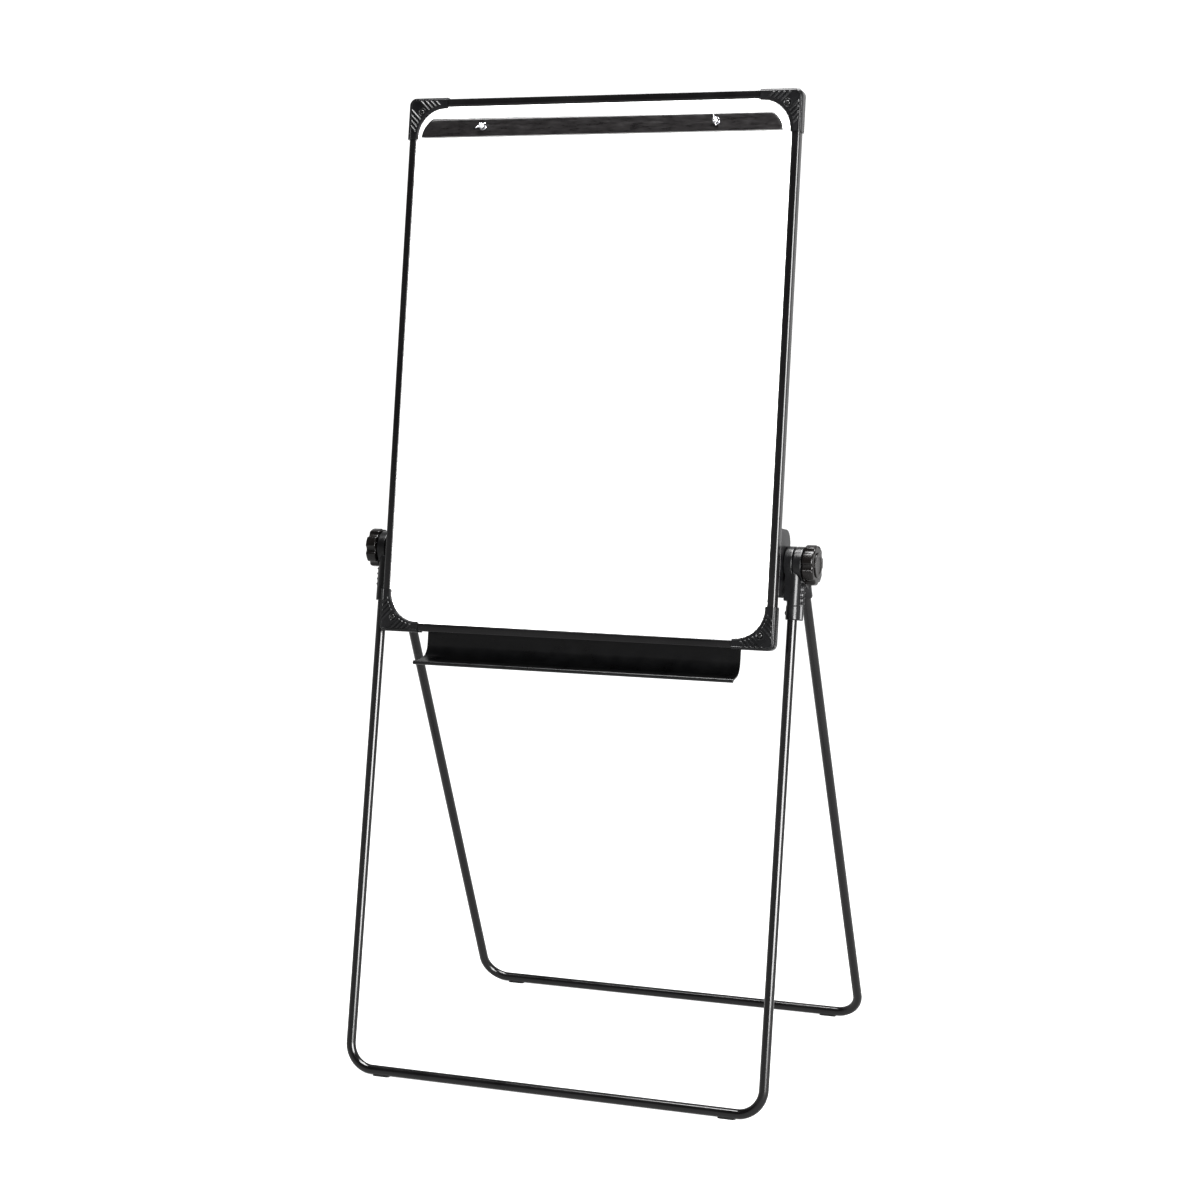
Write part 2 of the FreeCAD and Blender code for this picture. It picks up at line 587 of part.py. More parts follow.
def pivot_bracket():
    """Right bracket: a flange on the back of the stile and a cheek round the bolt."""
    half = PIVOT_BRACKET_HALF
    cheek_x = CHEEK_OUTSIDE - BRACKET_CHEEK
    cheek = box(cheek_x, CHEEK_OUTSIDE, FRAME_BACK_Y, PIVOT_BRACKET_BACK, -half, half)
    rear_corners = edges_where(cheek, lambda b: b.YMin > PIVOT_BRACKET_BACK - 0.1 and b.ZLength < 0.1)
    cheek = cheek.makeFillet(PIVOT_BRACKET_CORNER, rear_corners)
    flange_back = FRAME_BACK_Y + PIVOT_FLANGE
    flange = box(PIVOT_FLANGE_INSIDE, CHEEK_OUTSIDE, FRAME_BACK_Y, flange_back, -half, half)
    inner_corners = edges_where(flange, lambda b: b.XMax < PIVOT_FLANGE_INSIDE + 0.1 and b.YLength > 1)
    flange = flange.makeFillet(PIVOT_FLANGE_CORNER, inner_corners)
    bracket = cheek.fuse(flange)
    for middle_z in (-half / 2.0, half / 2.0):
        z0 = middle_z - GUSSET_THICKNESS / 2.0
        z1 = middle_z + GUSSET_THICKNESS / 2.0
        gusset = box(cheek_x - GUSSET_LENGTH, cheek_x + 1.0, FRAME_BACK_Y, GUSSET_BACK, z0, z1)
        bracket = bracket.fuse(gusset)
    bracket = bracket.cut(rod_x(cheek_x, CHEEK_OUTSIDE, BOLT_RADIUS + RUNNING_FIT))
    for screw in bracket_screws():
        bracket = bracket.cut(screw)
    return bracket.removeSplitter()


def bracket_screws():
    """Two screws from the back of the right bracket into the stile."""
    return [back_screw(PIVOT_SCREW_X, z, PIVOT_FLANGE, 3.6) for z in (-PIVOT_SCREW_Z, PIVOT_SCREW_Z)]


def back_screw(x, z, under_head, head_radius):
    """Screw driven forwards into the frame through a plate of the given thickness."""
    head_y = FRAME_BACK_Y + under_head
    head = rod_y(head_y, head_y + BACK_SCREW_HEAD_HEIGHT, head_radius, x, z)
    shank = rod_y(FRAME_BACK_Y - BACK_SCREW_DEPTH, head_y, BACK_SCREW_RADIUS, x, z)
    return head.fuse(shank)


# ---------------------------------------------------------------- pad clamp
def clamp_outline():
    """Front view of the bar; each end is a bulging arc that clears the corner bracket."""
    def at(x, z):
        return Vector(x, CLAMP_BACK_Y, z)

    middle_z = (CLAMP_TOP + CLAMP_BOTTOM) / 2.0
    middle_x = (CLAMP_HALF_TOP + CLAMP_HALF_BOTTOM) / 2.0 + CLAMP_END_BULGE
    return Part.Wire([
        Part.makeLine(at(-CLAMP_HALF_BOTTOM, CLAMP_BOTTOM), at(CLAMP_HALF_BOTTOM, CLAMP_BOTTOM)),
        Part.Arc(at(CLAMP_HALF_BOTTOM, CLAMP_BOTTOM), at(middle_x, middle_z),
                 at(CLAMP_HALF_TOP, CLAMP_TOP)).toShape(),
        Part.makeLine(at(CLAMP_HALF_TOP, CLAMP_TOP), at(-CLAMP_HALF_TOP, CLAMP_TOP)),
        Part.Arc(at(-CLAMP_HALF_TOP, CLAMP_TOP), at(-middle_x, middle_z),
                 at(-CLAMP_HALF_BOTTOM, CLAMP_BOTTOM)).toShape(),
    ])


def clamp_bar():
    outline = clamp_outline()
    bar = Part.Face(outline).extrude(Vector(0, -CLAMP_DEPTH, 0))
    top_front = edges_where(bar, lambda b: b.ZMin > CLAMP_TOP - 0.1 and b.YMax < CLAMP_FRONT_Y + 0.1)
    bar = bar.makeFillet(CLAMP_TOP_ROUND, top_front)
    bottom_front = edges_where(bar, lambda b: b.ZMax < CLAMP_BOTTOM + 0.1 and b.YMax < CLAMP_FRONT_Y + 0.1)
    bar = bar.makeFillet(CLAMP_BOTTOM_ROUND, bottom_front)
    inside = Part.Face(outline.makeOffset2D(-CLAMP_WALL)).extrude(Vector(0, -(CLAMP_DEPTH - CLAMP_WALL), 0))
    bar = bar.cut(inside)
    for x in (-CLAMP_STUD_X, CLAMP_STUD_X):
        boss = rod_y(CLAMP_FRONT_Y + 1.0, CLAMP_BACK_Y, CLAMP_BOSS_RADIUS, x, STUD_HEIGHT)
        bar = bar.fuse(boss).cut(stud_hole(x))
    return bar


def stud_hole(x):
    """Clearance hole for a stud, through everything that slides on it."""
    return rod_y(CLAMP_FRONT_Y - 2.0, CLAMP_BACK_Y + GRIP + 1.0, STUD_RADIUS + STUD_CLEARANCE, x, STUD_HEIGHT)


def clamp_grip():
    half = CLAMP_HALF_TOP - 4.0
    back_y = CLAMP_BACK_Y + GRIP
    grip = box(-half, half, CLAMP_BACK_Y, back_y, CLAMP_BOTTOM + 0.5, CLAMP_TOP - 0.5)
    return grip.cut(stud_hole(-CLAMP_STUD_X)).cut(stud_hole(CLAMP_STUD_X))


def clamp_washers():
    washers = []
    for x in (-CLAMP_STUD_X, CLAMP_STUD_X):
        disc = rod_y(CLAMP_FRONT_Y - CLAMP_WASHER, CLAMP_FRONT_Y, CLAMP_WASHER_RADIUS, x, STUD_HEIGHT)
        washers.append(disc.cut(stud_hole(x)))
    return washers


def clamp_studs():
    """Studs with a wide head behind the panel; the pad hangs on them."""
    tip_y = NUT_BACK_Y - NUT_LENGTH - CLAMP_TRAVEL - 1.5
    head_y = PANEL_BACK_Y + STUD_HEAD_HEIGHT
    studs = []
    for x in (-CLAMP_STUD_X, CLAMP_STUD_X):
        shank = rod_y(tip_y, PANEL_BACK_Y, STUD_RADIUS, x, STUD_HEIGHT)
        head = rod_y(PANEL_BACK_Y, head_y, STUD_HEAD_RADIUS, x, STUD_HEIGHT)
        studs.append(shank.fuse(head))
    return studs


def wing_nut(turn):
    """Wing nut round the right stud: a tapered hub and two rounded wings."""
    x = CLAMP_STUD_X
    base = Vector(x, NUT_BACK_Y, STUD_HEIGHT)
    hub = Part.makeCone(NUT_BASE_RADIUS, NUT_TOP_RADIUS, NUT_LENGTH, base, Vector(0, -1, 0))
    wing = box(-NUT_SPAN / 2.0, -3.0, NUT_BACK_Y - WING_REACH, NUT_BACK_Y - 1.6, -1.1, 1.1)
    tips = edges_where(wing, lambda b: b.XLength < 0.1 and b.ZLength > 1 and b.XMax < -5)
    wing = wing.makeFillet(4.0, tips)
    other = wing.mirror(Vector(0, 0, 0), X_AXIS)
    wings = wing.fuse(other)
    wings.rotate(Vector(0, 0, 0), Vector(0, 1, 0), turn)
    wings.translate(Vector(x, 0, STUD_HEIGHT))
    nut = hub.fuse(wings)
    bore_front = NUT_BACK_Y - WING_REACH - 1.0
    return nut.cut(rod_y(bore_front, NUT_BACK_Y + 1.0, STUD_RADIUS + RUNNING_FIT, x, STUD_HEIGHT))


# ---------------------------------------------------------------- marker tray
def rounded_path(points, radii, x):
    """Straight runs through (y, z) points, joined by tangent arcs of the given radii."""
    edges = []
    start = Vector(x, *points[0])
    for index in range(1, len(points) - 1):
        before = Vector(x, *points[index - 1])
        corner = Vector(x, *points[index])
        after = Vector(x, *points[index + 1])
        into = (before - corner).normalize()
        out = (after - corner).normalize()
        half_angle = into.getAngle(out) / 2.0
        radius = radii[index - 1]
        cut_back = radius / math.tan(half_angle)
        first = corner + into * cut_back
        last = corner + out * cut_back
        bisector = (into + out).normalize()
        middle = corner + bisector * (radius / math.sin(half_angle) - radius)
        edges.append(Part.makeLine(start, first))
        edges.append(Part.Arc(first, middle, last).toShape())
        start = last
    edges.append(Part.makeLine(start, Vector(x, *points[-1])))
    return Part.Wire(edges)


def marker_tray():
    """Bent sheet: a flange on the rail, a box back, a trough and a rolled lip."""
    half = TRAY_THICKNESS / 2.0
    flange_y = FRAME_BACK_Y + half
    top_z = BOARD_BOTTOM + TRAY_FLANGE
    back_y = TRAY_BACK_Y - half
    lip_y = FACE_Y + TRAY_BEAD_RADIUS
    points = [
        (flange_y, BOARD_BOTTOM + 1.5),
        (flange_y, top_z),
        (back_y, top_z),
        (back_y, TRAY_LIP_HEIGHT + TRAY_WALL_END),
        (lip_y, TRAY_LIP_HEIGHT),
    ]
    path = rounded_path(points, [3.0, 6.0, 24.0], -TRAY_HALF_LENGTH)
    outline = path.makeOffset2D(half)
    sheet = Part.Face(outline).extrude(Vector(2 * TRAY_HALF_LENGTH, 0, 0))
    bead = rod_x(-TRAY_HALF_LENGTH, TRAY_HALF_LENGTH, TRAY_BEAD_RADIUS, lip_y, TRAY_LIP_HEIGHT)
    tray = sheet.fuse(bead)
    return cut_all(tray, tray_screws() + both_sides([tray_end_cut(), tray_notch()]))


def tray_end_cut():
    """Wedge that trims the right end of the tray back from the lip towards the rear."""
    front = Vector(TRAY_HALF_LENGTH, FACE_Y, TRAY_LIP_HEIGHT - 20.0)
    rear = Vector(TRAY_HALF_LENGTH - TRAY_END_SLANT, TRAY_BACK_Y, front.z)
    outer = Vector(TRAY_HALF_LENGTH + 1.0, TRAY_BACK_Y, front.z)
    return Part.Face(Part.makePolygon([front, rear, outer, front])).extrude(Vector(0, 0, 120.0))


def tray_notch():
    """Relief in the flange, so that it stops short of the corner bracket's arm."""
    arm_end = BOARD_HALF_WIDTH + BRACKET_PROUD - BRACKET_ARM
    notch_back = FRAME_BACK_Y + BRACKET_PROUD + 0.3
    top = BOARD_BOTTOM + TRAY_FLANGE + 2.0
    return box(arm_end - 0.5, TRAY_HALF_LENGTH + 1.0, FRAME_BACK_Y - 1.0, notch_back, BOARD_BOTTOM, top)


def tray_screws():
    start = -TRAY_SCREW_SPACING * (TRAY_SCREWS - 1) / 2.0
    z = BOARD_BOTTOM + FRAME_FACE / 2.0
    return [back_screw(start + TRAY_SCREW_SPACING * n, z, TRAY_THICKNESS, 3.4) for n in range(TRAY_SCREWS)]


# ---------------------------------------------------------------- write every node
def both_sides(shapes):
    return shapes + [mirror_x(shape) for shape in shapes]


def cut_all(shape, tools):
    for tool in tools:
        shape = shape.cut(tool)
    return shape


def write_front_leg():
    screws = both_sides([on_front_leg(socket_screw(-LEG_OFFSET, FRONT_SOCKET_END))])
    glides = both_sides([glide(HUB_Y - FRONT_REACH)])
    tube = on_front_leg(leg_tube(leg_length(FRONT_REACH), -LEG_OFFSET))
    save("front_leg_tube", cut_all(tube, screws + glides))
    hub = on_front_leg(front_hub())
    save("front_leg_hub_right", hub)
    save("front_leg_hub_left", mirror_x(hub))
    bolt = on_front_leg(pivot_bolt())
    save("pivot_bolt_right", bolt)
    save("pivot_bolt_left", mirror_x(bolt))
    washers = [on_front_leg(washer) for washer in both_sides(friction_washers())]
    save("friction_washers", Part.makeCompound(washers))
    outer = washer_x(REAR_DISC_OUTSIDE + GAP, KNOB_INSIDE - GAP, KNOB_WASHER_RADIUS, BOLT_RADIUS)
    save("knob_washers", Part.makeCompound(both_sides([on_front_leg(outer)])))
    save("leg_stop_pins", Part.makeCompound(both_sides([on_front_leg(stop_pin())])))
    save("front_socket_screws", Part.makeCompound(screws))
    save("front_glide_right", glides[0])
    save("front_glide_left", glides[1])


def write_rear_leg():
    screws = both_sides([on_rear_leg(socket_screw(LEG_OFFSET, REAR_SOCKET_END))])
    glides = both_sides([glide(HUB_Y + REAR_REACH)])
    tube = on_rear_leg(leg_tube(leg_length(REAR_REACH), LEG_OFFSET))
    save("rear_leg_tube", cut_all(tube, screws + glides))
    hub = on_rear_leg(rear_hub())
    save("rear_leg_hub_right", hub)
    save("rear_leg_hub_left", mirror_x(hub))
    save("rear_socket_screws", Part.makeCompound(screws))
    save("rear_glide_right", glides[0])
    save("rear_glide_left", glides[1])


def write_knobs():
    for name, shape in (("knob_body", knob_body()), ("knob_insert", knob_insert()), ("knob_cap", knob_cap())):
        placed = on_hub(shape, 0)
        save(name + "_right", placed)
        save(name + "_left", mirror_x(placed))


def write_board():
    frame = frame_sections()
    fasteners = both_sides(bracket_screws()) + tray_screws()
    for name, section in frame.items():
        save(name, on_board(cut_all(section, fasteners)))
    save("writing_surface", on_board(panel_layer(PANEL_FRONT_Y, CORE_FRONT_Y)))
    save("board_core", on_board(panel_layer(CORE_FRONT_Y, BACKER_FRONT_Y)))
    save("board_backer", on_board(panel_layer(BACKER_FRONT_Y, PANEL_BACK_Y)))
    top_right = corner_bracket(frame)
    bottom_right = mirror_board_height(top_right)
    save("corner_bracket_top_right", on_board(top_right))
    save("corner_bracket_top_left", on_board(mirror_x(top_right)))
    save("corner_bracket_bottom_right", on_board(bottom_right))
    save("corner_bracket_bottom_left", on_board(mirror_x(bottom_right)))
    save("corner_screws", on_board(Part.makeCompound(corner_screws())))
    bracket = pivot_bracket()
    save("pivot_bracket_right", on_board(bracket))
    save("pivot_bracket_left", on_board(mirror_x(bracket)))
    save("pivot_bracket_screws", on_board(Part.makeCompound(both_sides(bracket_screws()))))
    save("clamp_studs", on_board(Part.makeCompound(clamp_studs())))
    save("marker_tray", on_board(marker_tray()))
    save("tray_screws", on_board(Part.makeCompound(tray_screws())))


def write_pad_clamp():
    save("pad_clamp_bar", on_board(clamp_bar()))
    save("pad_clamp_grip", on_board(clamp_grip()))
    save("clamp_washers", on_board(Part.makeCompound(clamp_washers())))
    save("wing_nut_right", on_board(wing_nut(WING_TURN_RIGHT)))
    save("wing_nut_left", on_board(mirror_x(wing_nut(WING_TURN_LEFT))))


os.makedirs("parts", exist_ok=True)
write_front_leg()
write_rear_leg()
write_knobs()
write_board()
write_pad_clamp()
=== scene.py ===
import json
import math

import bmesh
import bpy
from mathutils import Matrix, Vector


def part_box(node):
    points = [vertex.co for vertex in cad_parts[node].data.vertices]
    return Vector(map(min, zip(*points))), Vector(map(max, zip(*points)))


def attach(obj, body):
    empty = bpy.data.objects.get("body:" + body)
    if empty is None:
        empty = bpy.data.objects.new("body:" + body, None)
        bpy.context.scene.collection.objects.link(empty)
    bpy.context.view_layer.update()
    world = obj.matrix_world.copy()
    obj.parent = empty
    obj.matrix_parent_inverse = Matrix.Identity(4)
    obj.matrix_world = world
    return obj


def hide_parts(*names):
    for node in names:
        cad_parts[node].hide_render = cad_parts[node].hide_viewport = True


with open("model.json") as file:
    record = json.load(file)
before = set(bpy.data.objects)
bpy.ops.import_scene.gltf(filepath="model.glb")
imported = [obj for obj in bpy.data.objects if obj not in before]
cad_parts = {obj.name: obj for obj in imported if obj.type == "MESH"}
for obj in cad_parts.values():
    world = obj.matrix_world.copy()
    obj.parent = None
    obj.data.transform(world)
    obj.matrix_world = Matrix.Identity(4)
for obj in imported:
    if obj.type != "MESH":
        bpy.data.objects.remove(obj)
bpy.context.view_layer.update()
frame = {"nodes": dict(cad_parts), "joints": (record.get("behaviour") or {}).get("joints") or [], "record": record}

MM = 0.001

# ------------------------------------------------------------------ the frame's own axes
JOINTS = {joint["name"]: joint for joint in frame["joints"]}
BODIES = frame["record"]["behaviour"]["bodies"]
BODY_OF = {node: body for body, nodes in BODIES.items() for node in nodes}
SLOT_OF = {part["node"]: part["material_slot"] for part in frame["record"]["subparts"]}
HUB = Vector(JOINTS["board_tilt"]["pos_m"])
BOARD_NORMAL = Vector(JOINTS["pad_clamp_slide"]["axis"])
TILT = math.atan2(BOARD_NORMAL.z, -BOARD_NORMAL.y)
BOARD_PLACE = Matrix.Translation(HUB) @ Matrix.Rotation(-TILT, 4, "X")
HUB_PLACE = Matrix.Translation(HUB)
MIRROR_X = Matrix.Scale(-1.0, 4, (1, 0, 0))

# ------------------------------------------------------------------ sizes the frame does not name
TUBE_RADIUS = 8.0 * MM
TUBE_WALL = 1.2 * MM
TUBE_OFFSET = 16.0 * MM           # leg centreline to hub axis
TUBE_BEND = 42.0 * MM
TUBE_TOP = 33.0 * MM              # below the hub axis, inside the socket
MOULD_VOXEL = 0.9 * MM
BOLT_SHANK = 4.0 * MM
BOLT_HEAD = 5.0 * MM
BOLT_RECESS = 2.2 * MM
KNOB_LOBES = 7
KNOB_BORE = 7.0 * MM
KNOB_EDGE = 3.4 * MM
KNOB_SEGMENTS = 280
FLUTE_RADIUS = 8.0 * MM
FLUTE_ORBIT_EXTRA = 4.2 * MM
FLUTE_BLEND = 1.6 * MM
CAP_SEAT = 2.0 * MM               # how deep the cap sits in the knob
CAP_RECESS = 1.3 * MM
FRAME_FACE = 13.2 * MM
FRAME_WALL = 4.0 * MM             # outside of the frame to the bottom of its groove
BRACKET_ARM = 70.0 * MM
BRACKET_WIDTH = 17.7 * MM
BRACKET_ARC = 48.0 * MM
BRACKET_CORNER = 12.0 * MM
BRACKET_BEVEL = 5.0 * MM
BRACKET_BEVEL_DROP = 2.1 * MM
BRACKET_EDGE = 2.0 * MM
BRACKET_SETBACK = 0.9 * MM        # plain face behind the ribs' crests in the CAD model
BRACKET_SCREW = 24.0 * MM         # screw to both outer edges
BRACKET_STEP = 0.55 * MM
CORNER_RIB_HEIGHT = 1.7 * MM
CORNER_RIB_PITCH = 6.4 * MM
CORNER_RIB_FIRST = 11.0 * MM
CORNER_RIB_COUNT = 4
CORNER_RIM_INSET = 3.8 * MM
CORNER_RIM_HEIGHT = 0.8 * MM
SCREW_RIM_RADIUS = 6.4 * MM
SCREW_RIM_HEIGHT = 0.5 * MM
SCREW_DISH_RADIUS = 5.0 * MM
SCREW_DISH_END = 5.9 * MM
SCREW_DISH_DEPTH = 0.7 * MM
SCREW_HEAD_RADIUS = 4.2 * MM
SCREW_HEAD_DOME = 1.7 * MM
SCREW_HEAD_HEIGHT = 2.4 * MM
SCREW_CROSS_DEPTH = 1.1 * MM
SCREW_SHANK = 1.9 * MM
SCREW_SEGMENTS = 64
CLAMP_END_CUT = 19.0 * MM         # how far the bar's ends curve in towards its top edge
CLAMP_BEVEL_RISE = 3.6 * MM
CLAMP_BEVEL_DEPTH = 2.4 * MM
CLAMP_BOTTOM_ROUND = 0.5 * MM
CLAMP_END_ROUND = 1.6 * MM
STUD_RADIUS = 2.5 * MM
STUD_HEAD_RADIUS = 7.0 * MM
STUD_PLAIN = 6.0 * MM             # plain length behind the thread
THREAD_PITCH = 0.8 * MM
THREAD_DEPTH = 0.32 * MM
WASHER_BORE = STUD_RADIUS + 0.4 * MM
WING_BORE = STUD_RADIUS + 0.1 * MM
TRAY_SHEET = 2.0 * MM
TRAY_BEAD = 3.3 * MM
TRAY_SLANT = 4.0 * MM
TRAY_FLANGE_HEM = 1.5 * MM        # lower end of the flange above the rail's lower edge
TRAY_TROUGH = 12.0 * MM           # lip's centre to the straight back's lower end
TRAY_RADII = (3.0 * MM, 6.0 * MM, 24.0 * MM)

# ------------------------------------------------------------------ stage, light and camera sizes
STAGE_RADIUS = 9.0
STAGE_CURVE = 2.0
STAGE_LOW_WALL = 2.7
STAGE_TALL_WALL = 9.0
STAGE_SEGMENTS = 96
STAGE_STEPS = 12
PAPER_GLOW = 0.96
WORLD_STRENGTH = 0.16
SIDE_LIGHT = {"place": (3.3, -2.3, 1.45), "target": (0.0, -0.1, 0.85), "size": (2.6, 2.7), "power": 1000.0}
OVERHEAD_LIGHT = {"place": (0.1, -0.15, 3.9), "target": (0.0, -0.1, 0.8), "size": (2.6, 2.2), "power": 800.0}
CAMERA_FROM_HUB = Vector((1.5245, -3.8853, 0.5124))
CAMERA_YAW = 21.127
CAMERA_DOWN = 6.74
CAMERA_ROLL = -0.354
CAMERA_LENS = 76.45
CAMERA_SHIFT = (-0.001, -0.0463)
GAMMA = 0.88


def box_in(place, node):
    """Lowest and highest corner of a CAD node in the axes of a placed sub-assembly."""
    back = place.inverted()
    points = [back @ vertex.co for vertex in frame["nodes"][node].data.vertices]
    low = Vector([min(point[axis] for point in points) for axis in range(3)])
    high = Vector([max(point[axis] for point in points) for axis in range(3)])
    return low, high


# ------------------------------------------------------------------ material helpers
class Shader:
    """A Principled material with short calls for the node chains that the materials share."""

    def __init__(self, name, color, roughness, metallic=0.0, specular=0.5):
        self.material = bpy.data.materials.new(name)
        self.material.use_nodes = True
        self.tree = self.material.node_tree
        self.principled = self.tree.nodes["Principled BSDF"]
        self.principled.inputs["Base Color"].default_value = (*color, 1.0)
        self.principled.inputs["Roughness"].default_value = roughness
        self.principled.inputs["Metallic"].default_value = metallic
        self.principled.inputs["Specular IOR Level"].default_value = specular
        self.coordinates = self.tree.nodes.new("ShaderNodeTexCoord").outputs["Object"]

    def node(self, kind, **settings):
        made = self.tree.nodes.new(kind)
        for key, value in settings.items():
            if key in made.inputs:
                made.inputs[key].default_value = value
            else:
                setattr(made, key, value)
        return made

    def link(self, output, node, socket):
        self.tree.links.new(output, node.inputs[socket])

    def mapped(self, scale=(1, 1, 1)):
        mapping = self.node("ShaderNodeMapping")
        mapping.inputs["Scale"].default_value = scale
        self.link(self.coordinates, mapping, "Vector")
        return mapping.outputs["Vector"]

    def noise(self, scale, detail=4.0, roughness=0.55, stretch=(1, 1, 1)):
        made = self.node("ShaderNodeTexNoise", Scale=scale, Detail=detail, Roughness=roughness)
        self.link(self.mapped(stretch), made, "Vector")
        return made.outputs["Fac"]

    def cells(self, scale, feature="DISTANCE_TO_EDGE", stretch=(1, 1, 1)):
        made = self.node("ShaderNodeTexVoronoi", Scale=scale)
        made.feature = feature
        self.link(self.mapped(stretch), made, "Vector")
        return made.outputs["Distance"]

    def ramp(self, value, stops):
        made = self.node("ShaderNodeValToRGB")
        elements = made.color_ramp.elements
        elements[0].position, elements[0].color = stops[0][0], self.rgba(stops[0][1])
        elements[1].position, elements[1].color = stops[-1][0], self.rgba(stops[-1][1])
        for place, color in stops[1:-1]:
            added = elements.new(place)
            added.color = self.rgba(color)
        self.link(value, made, "Fac")
        return made.outputs["Color"]

    @staticmethod
    def rgba(color):
        if isinstance(color, (int, float)):
            return (color, color, color, 1.0)
        return (*color, 1.0)

    def span(self, value, low, high, from_low=0.3, from_high=0.7):
        made = self.node("ShaderNodeMapRange")
        made.inputs["From Min"].default_value = from_low
        made.inputs["From Max"].default_value = from_high
        made.inputs["To Min"].default_value = low
        made.inputs["To Max"].default_value = high
        self.link(value, made, "Value")
        return made.outputs["Result"]

    def mix(self, factor, first, second, blend="MIX"):
        made = self.node("ShaderNodeMix", data_type="RGBA", blend_type=blend)
        for index, value in ((0, factor), (6, first), (7, second)):
            if isinstance(value, (int, float)):
                made.inputs[index].default_value = value if index == 0 else self.rgba(value)
            elif isinstance(value, tuple):
                made.inputs[index].default_value = self.rgba(value)
            else:
                self.tree.links.new(value, made.inputs[index])
        return made.outputs[2]

    def math(self, operation, first, second=0.0):
        made = self.node("ShaderNodeMath")
        made.operation = operation
        for index, value in ((0, first), (1, second)):
            if isinstance(value, (int, float)):
                made.inputs[index].default_value = value
            else:
                self.tree.links.new(value, made.inputs[index])
        return made.outputs["Value"]

    def bump(self, height, distance, strength=1.0, normal=None):
        made = self.node("ShaderNodeBump", Strength=strength, Distance=distance)
        self.link(height, made, "Height")
        if normal is not None:
            self.link(normal, made, "Normal")
        self.link(made.outputs["Normal"], self.principled, "Normal")
        return made.outputs["Normal"]

    def edge_wear(self, low=0.52, high=0.62):
        """1 along convex edges and 0 on open faces, from the geometry's pointiness."""
        geometry = self.node("ShaderNodeNewGeometry")
        return self.span(geometry.outputs["Pointiness"], 0.0, 1.0, low, high)

    def use(self, socket, output):
        self.link(output, self.principled, socket)


def tint(color, factor, lift=0.0):
    """A lighter or darker version of a colour."""
    return tuple(c * factor + lift for c in color)


def coated_metal(name, color, roughness, grain=900.0):
    """Glossy black coating: fine orange peel, faint handling marks and rubbed edges."""
    s = Shader(name, color, roughness, specular=0.26)
    peel = s.noise(grain, detail=3.0)
    smears = s.noise(14.0, detail=6.0, stretch=(1, 1, 0.35))
    rubbed = s.math("MULTIPLY", s.edge_wear(), s.noise(60.0, detail=5.0))
    coat = s.ramp(smears, [(0.35, color), (0.8, tint(color, 1.8, 0.0006))])
    s.use("Base Color", s.mix(s.math("MULTIPLY", rubbed, 0.8), coat, tint(color, 4.0, 0.005)))
    s.use("Roughness", s.span(smears, roughness - 0.05, roughness + 0.08))
    s.bump(peel, 0.04 * MM, 0.25)
    return s.material


def moulded_plastic(name, color, roughness, grain=1400.0):
    """Moulded black plastic with a spark-eroded grain that polishes on its high edges."""
    s = Shader(name, color, roughness, specular=0.20)
    grains = s.cells(grain, feature="F1")
    patches = s.noise(35.0, detail=5.0)
    s.use("Base Color", s.ramp(patches, [(0.3, color), (0.8, tint(color, 1.8, 0.0007))]))
    polished = s.math("MULTIPLY", s.edge_wear(0.51, 0.60), -0.16)
    s.use("Roughness", s.math("ADD", s.span(patches, roughness - 0.04, roughness + 0.08), polished))
    s.bump(grains, 0.06 * MM, 0.3)
    return s.material


def grained_coating(name, color, roughness):
    """Leather-grained black covering of the clamp bar, scuffed to grey in streaks."""
    s = Shader(name, color, roughness, specular=0.32)
    creases = s.cells(420.0)
    folds = s.noise(150.0, detail=8.0, roughness=0.7, stretch=(0.45, 1, 1.5))
    scuffs = s.noise(120.0, detail=10.0, roughness=0.75, stretch=(0.35, 1, 1.8))
    stops = [(0.42, color), (0.56, tint(color, 1.8)), (0.82, tint(color, 3.0, 0.005))]
    s.use("Base Color", s.ramp(scuffs, stops))
    s.use("Roughness", s.span(scuffs, roughness - 0.1, roughness + 0.16))
    first = s.bump(creases, 0.25 * MM, 0.4)
    s.bump(folds, 0.35 * MM, 0.5, first)
    return s.material


def writing_board(name):
    """Glossy white melamine: faint ghosting of wiped marker, painted shade darkening the lower part, slight
    ripple.
    """
    s = Shader(name, (0.72, 0.72, 0.71), 0.28, specular=0.45)
    wiped = s.noise(3.2, detail=9.0, roughness=0.62, stretch=(0.8, 1, 2.6))
    specks = s.noise(520.0, detail=2.0)
    height = s.node("ShaderNodeSeparateXYZ")
    s.link(s.coordinates, height, "Vector")
    low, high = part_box("writing_surface")
    # painted shade: the colour runs from the upper tone at the top to a darker tone at the bottom, standing in for
    # light falling off down the board
    painted_shade_low = s.span(height.outputs["Z"], 1.0, 0.0, low.z, high.z)
    upper_tone = s.ramp(wiped, [(0.3, (0.735, 0.735, 0.73)), (0.62, (0.755, 0.755, 0.75))])
    painted_shade_tone = s.ramp(wiped, [(0.3, (0.655, 0.652, 0.645)), (0.62, (0.685, 0.683, 0.678))])
    tone = s.mix(painted_shade_low, upper_tone, painted_shade_tone)
    s.use("Base Color", s.mix(s.span(specks, 0.0, 0.08, 0.62, 0.8), tone, (0.55, 0.54, 0.52)))
    s.use("Roughness", s.span(wiped, 0.24, 0.36))
    s.bump(s.noise(60.0, detail=2.0), 0.06 * MM, 0.25)
    return s.material


def plated_metal(name, color, roughness):
    """Bright plating with fine turning marks and dull spots."""
    s = Shader(name, color, roughness, metallic=1.0)
    marks = s.noise(700.0, detail=3.0, stretch=(1, 0.08, 1))
    spots = s.noise(160.0, detail=5.0)
    s.use("Base Color", s.ramp(spots, [(0.3, tint(color, 0.82)), (0.7, color)]))
    s.use("Roughness", s.span(spots, roughness, roughness + 0.12))
    s.bump(marks, 0.03 * MM, 0.3)
    return s.material


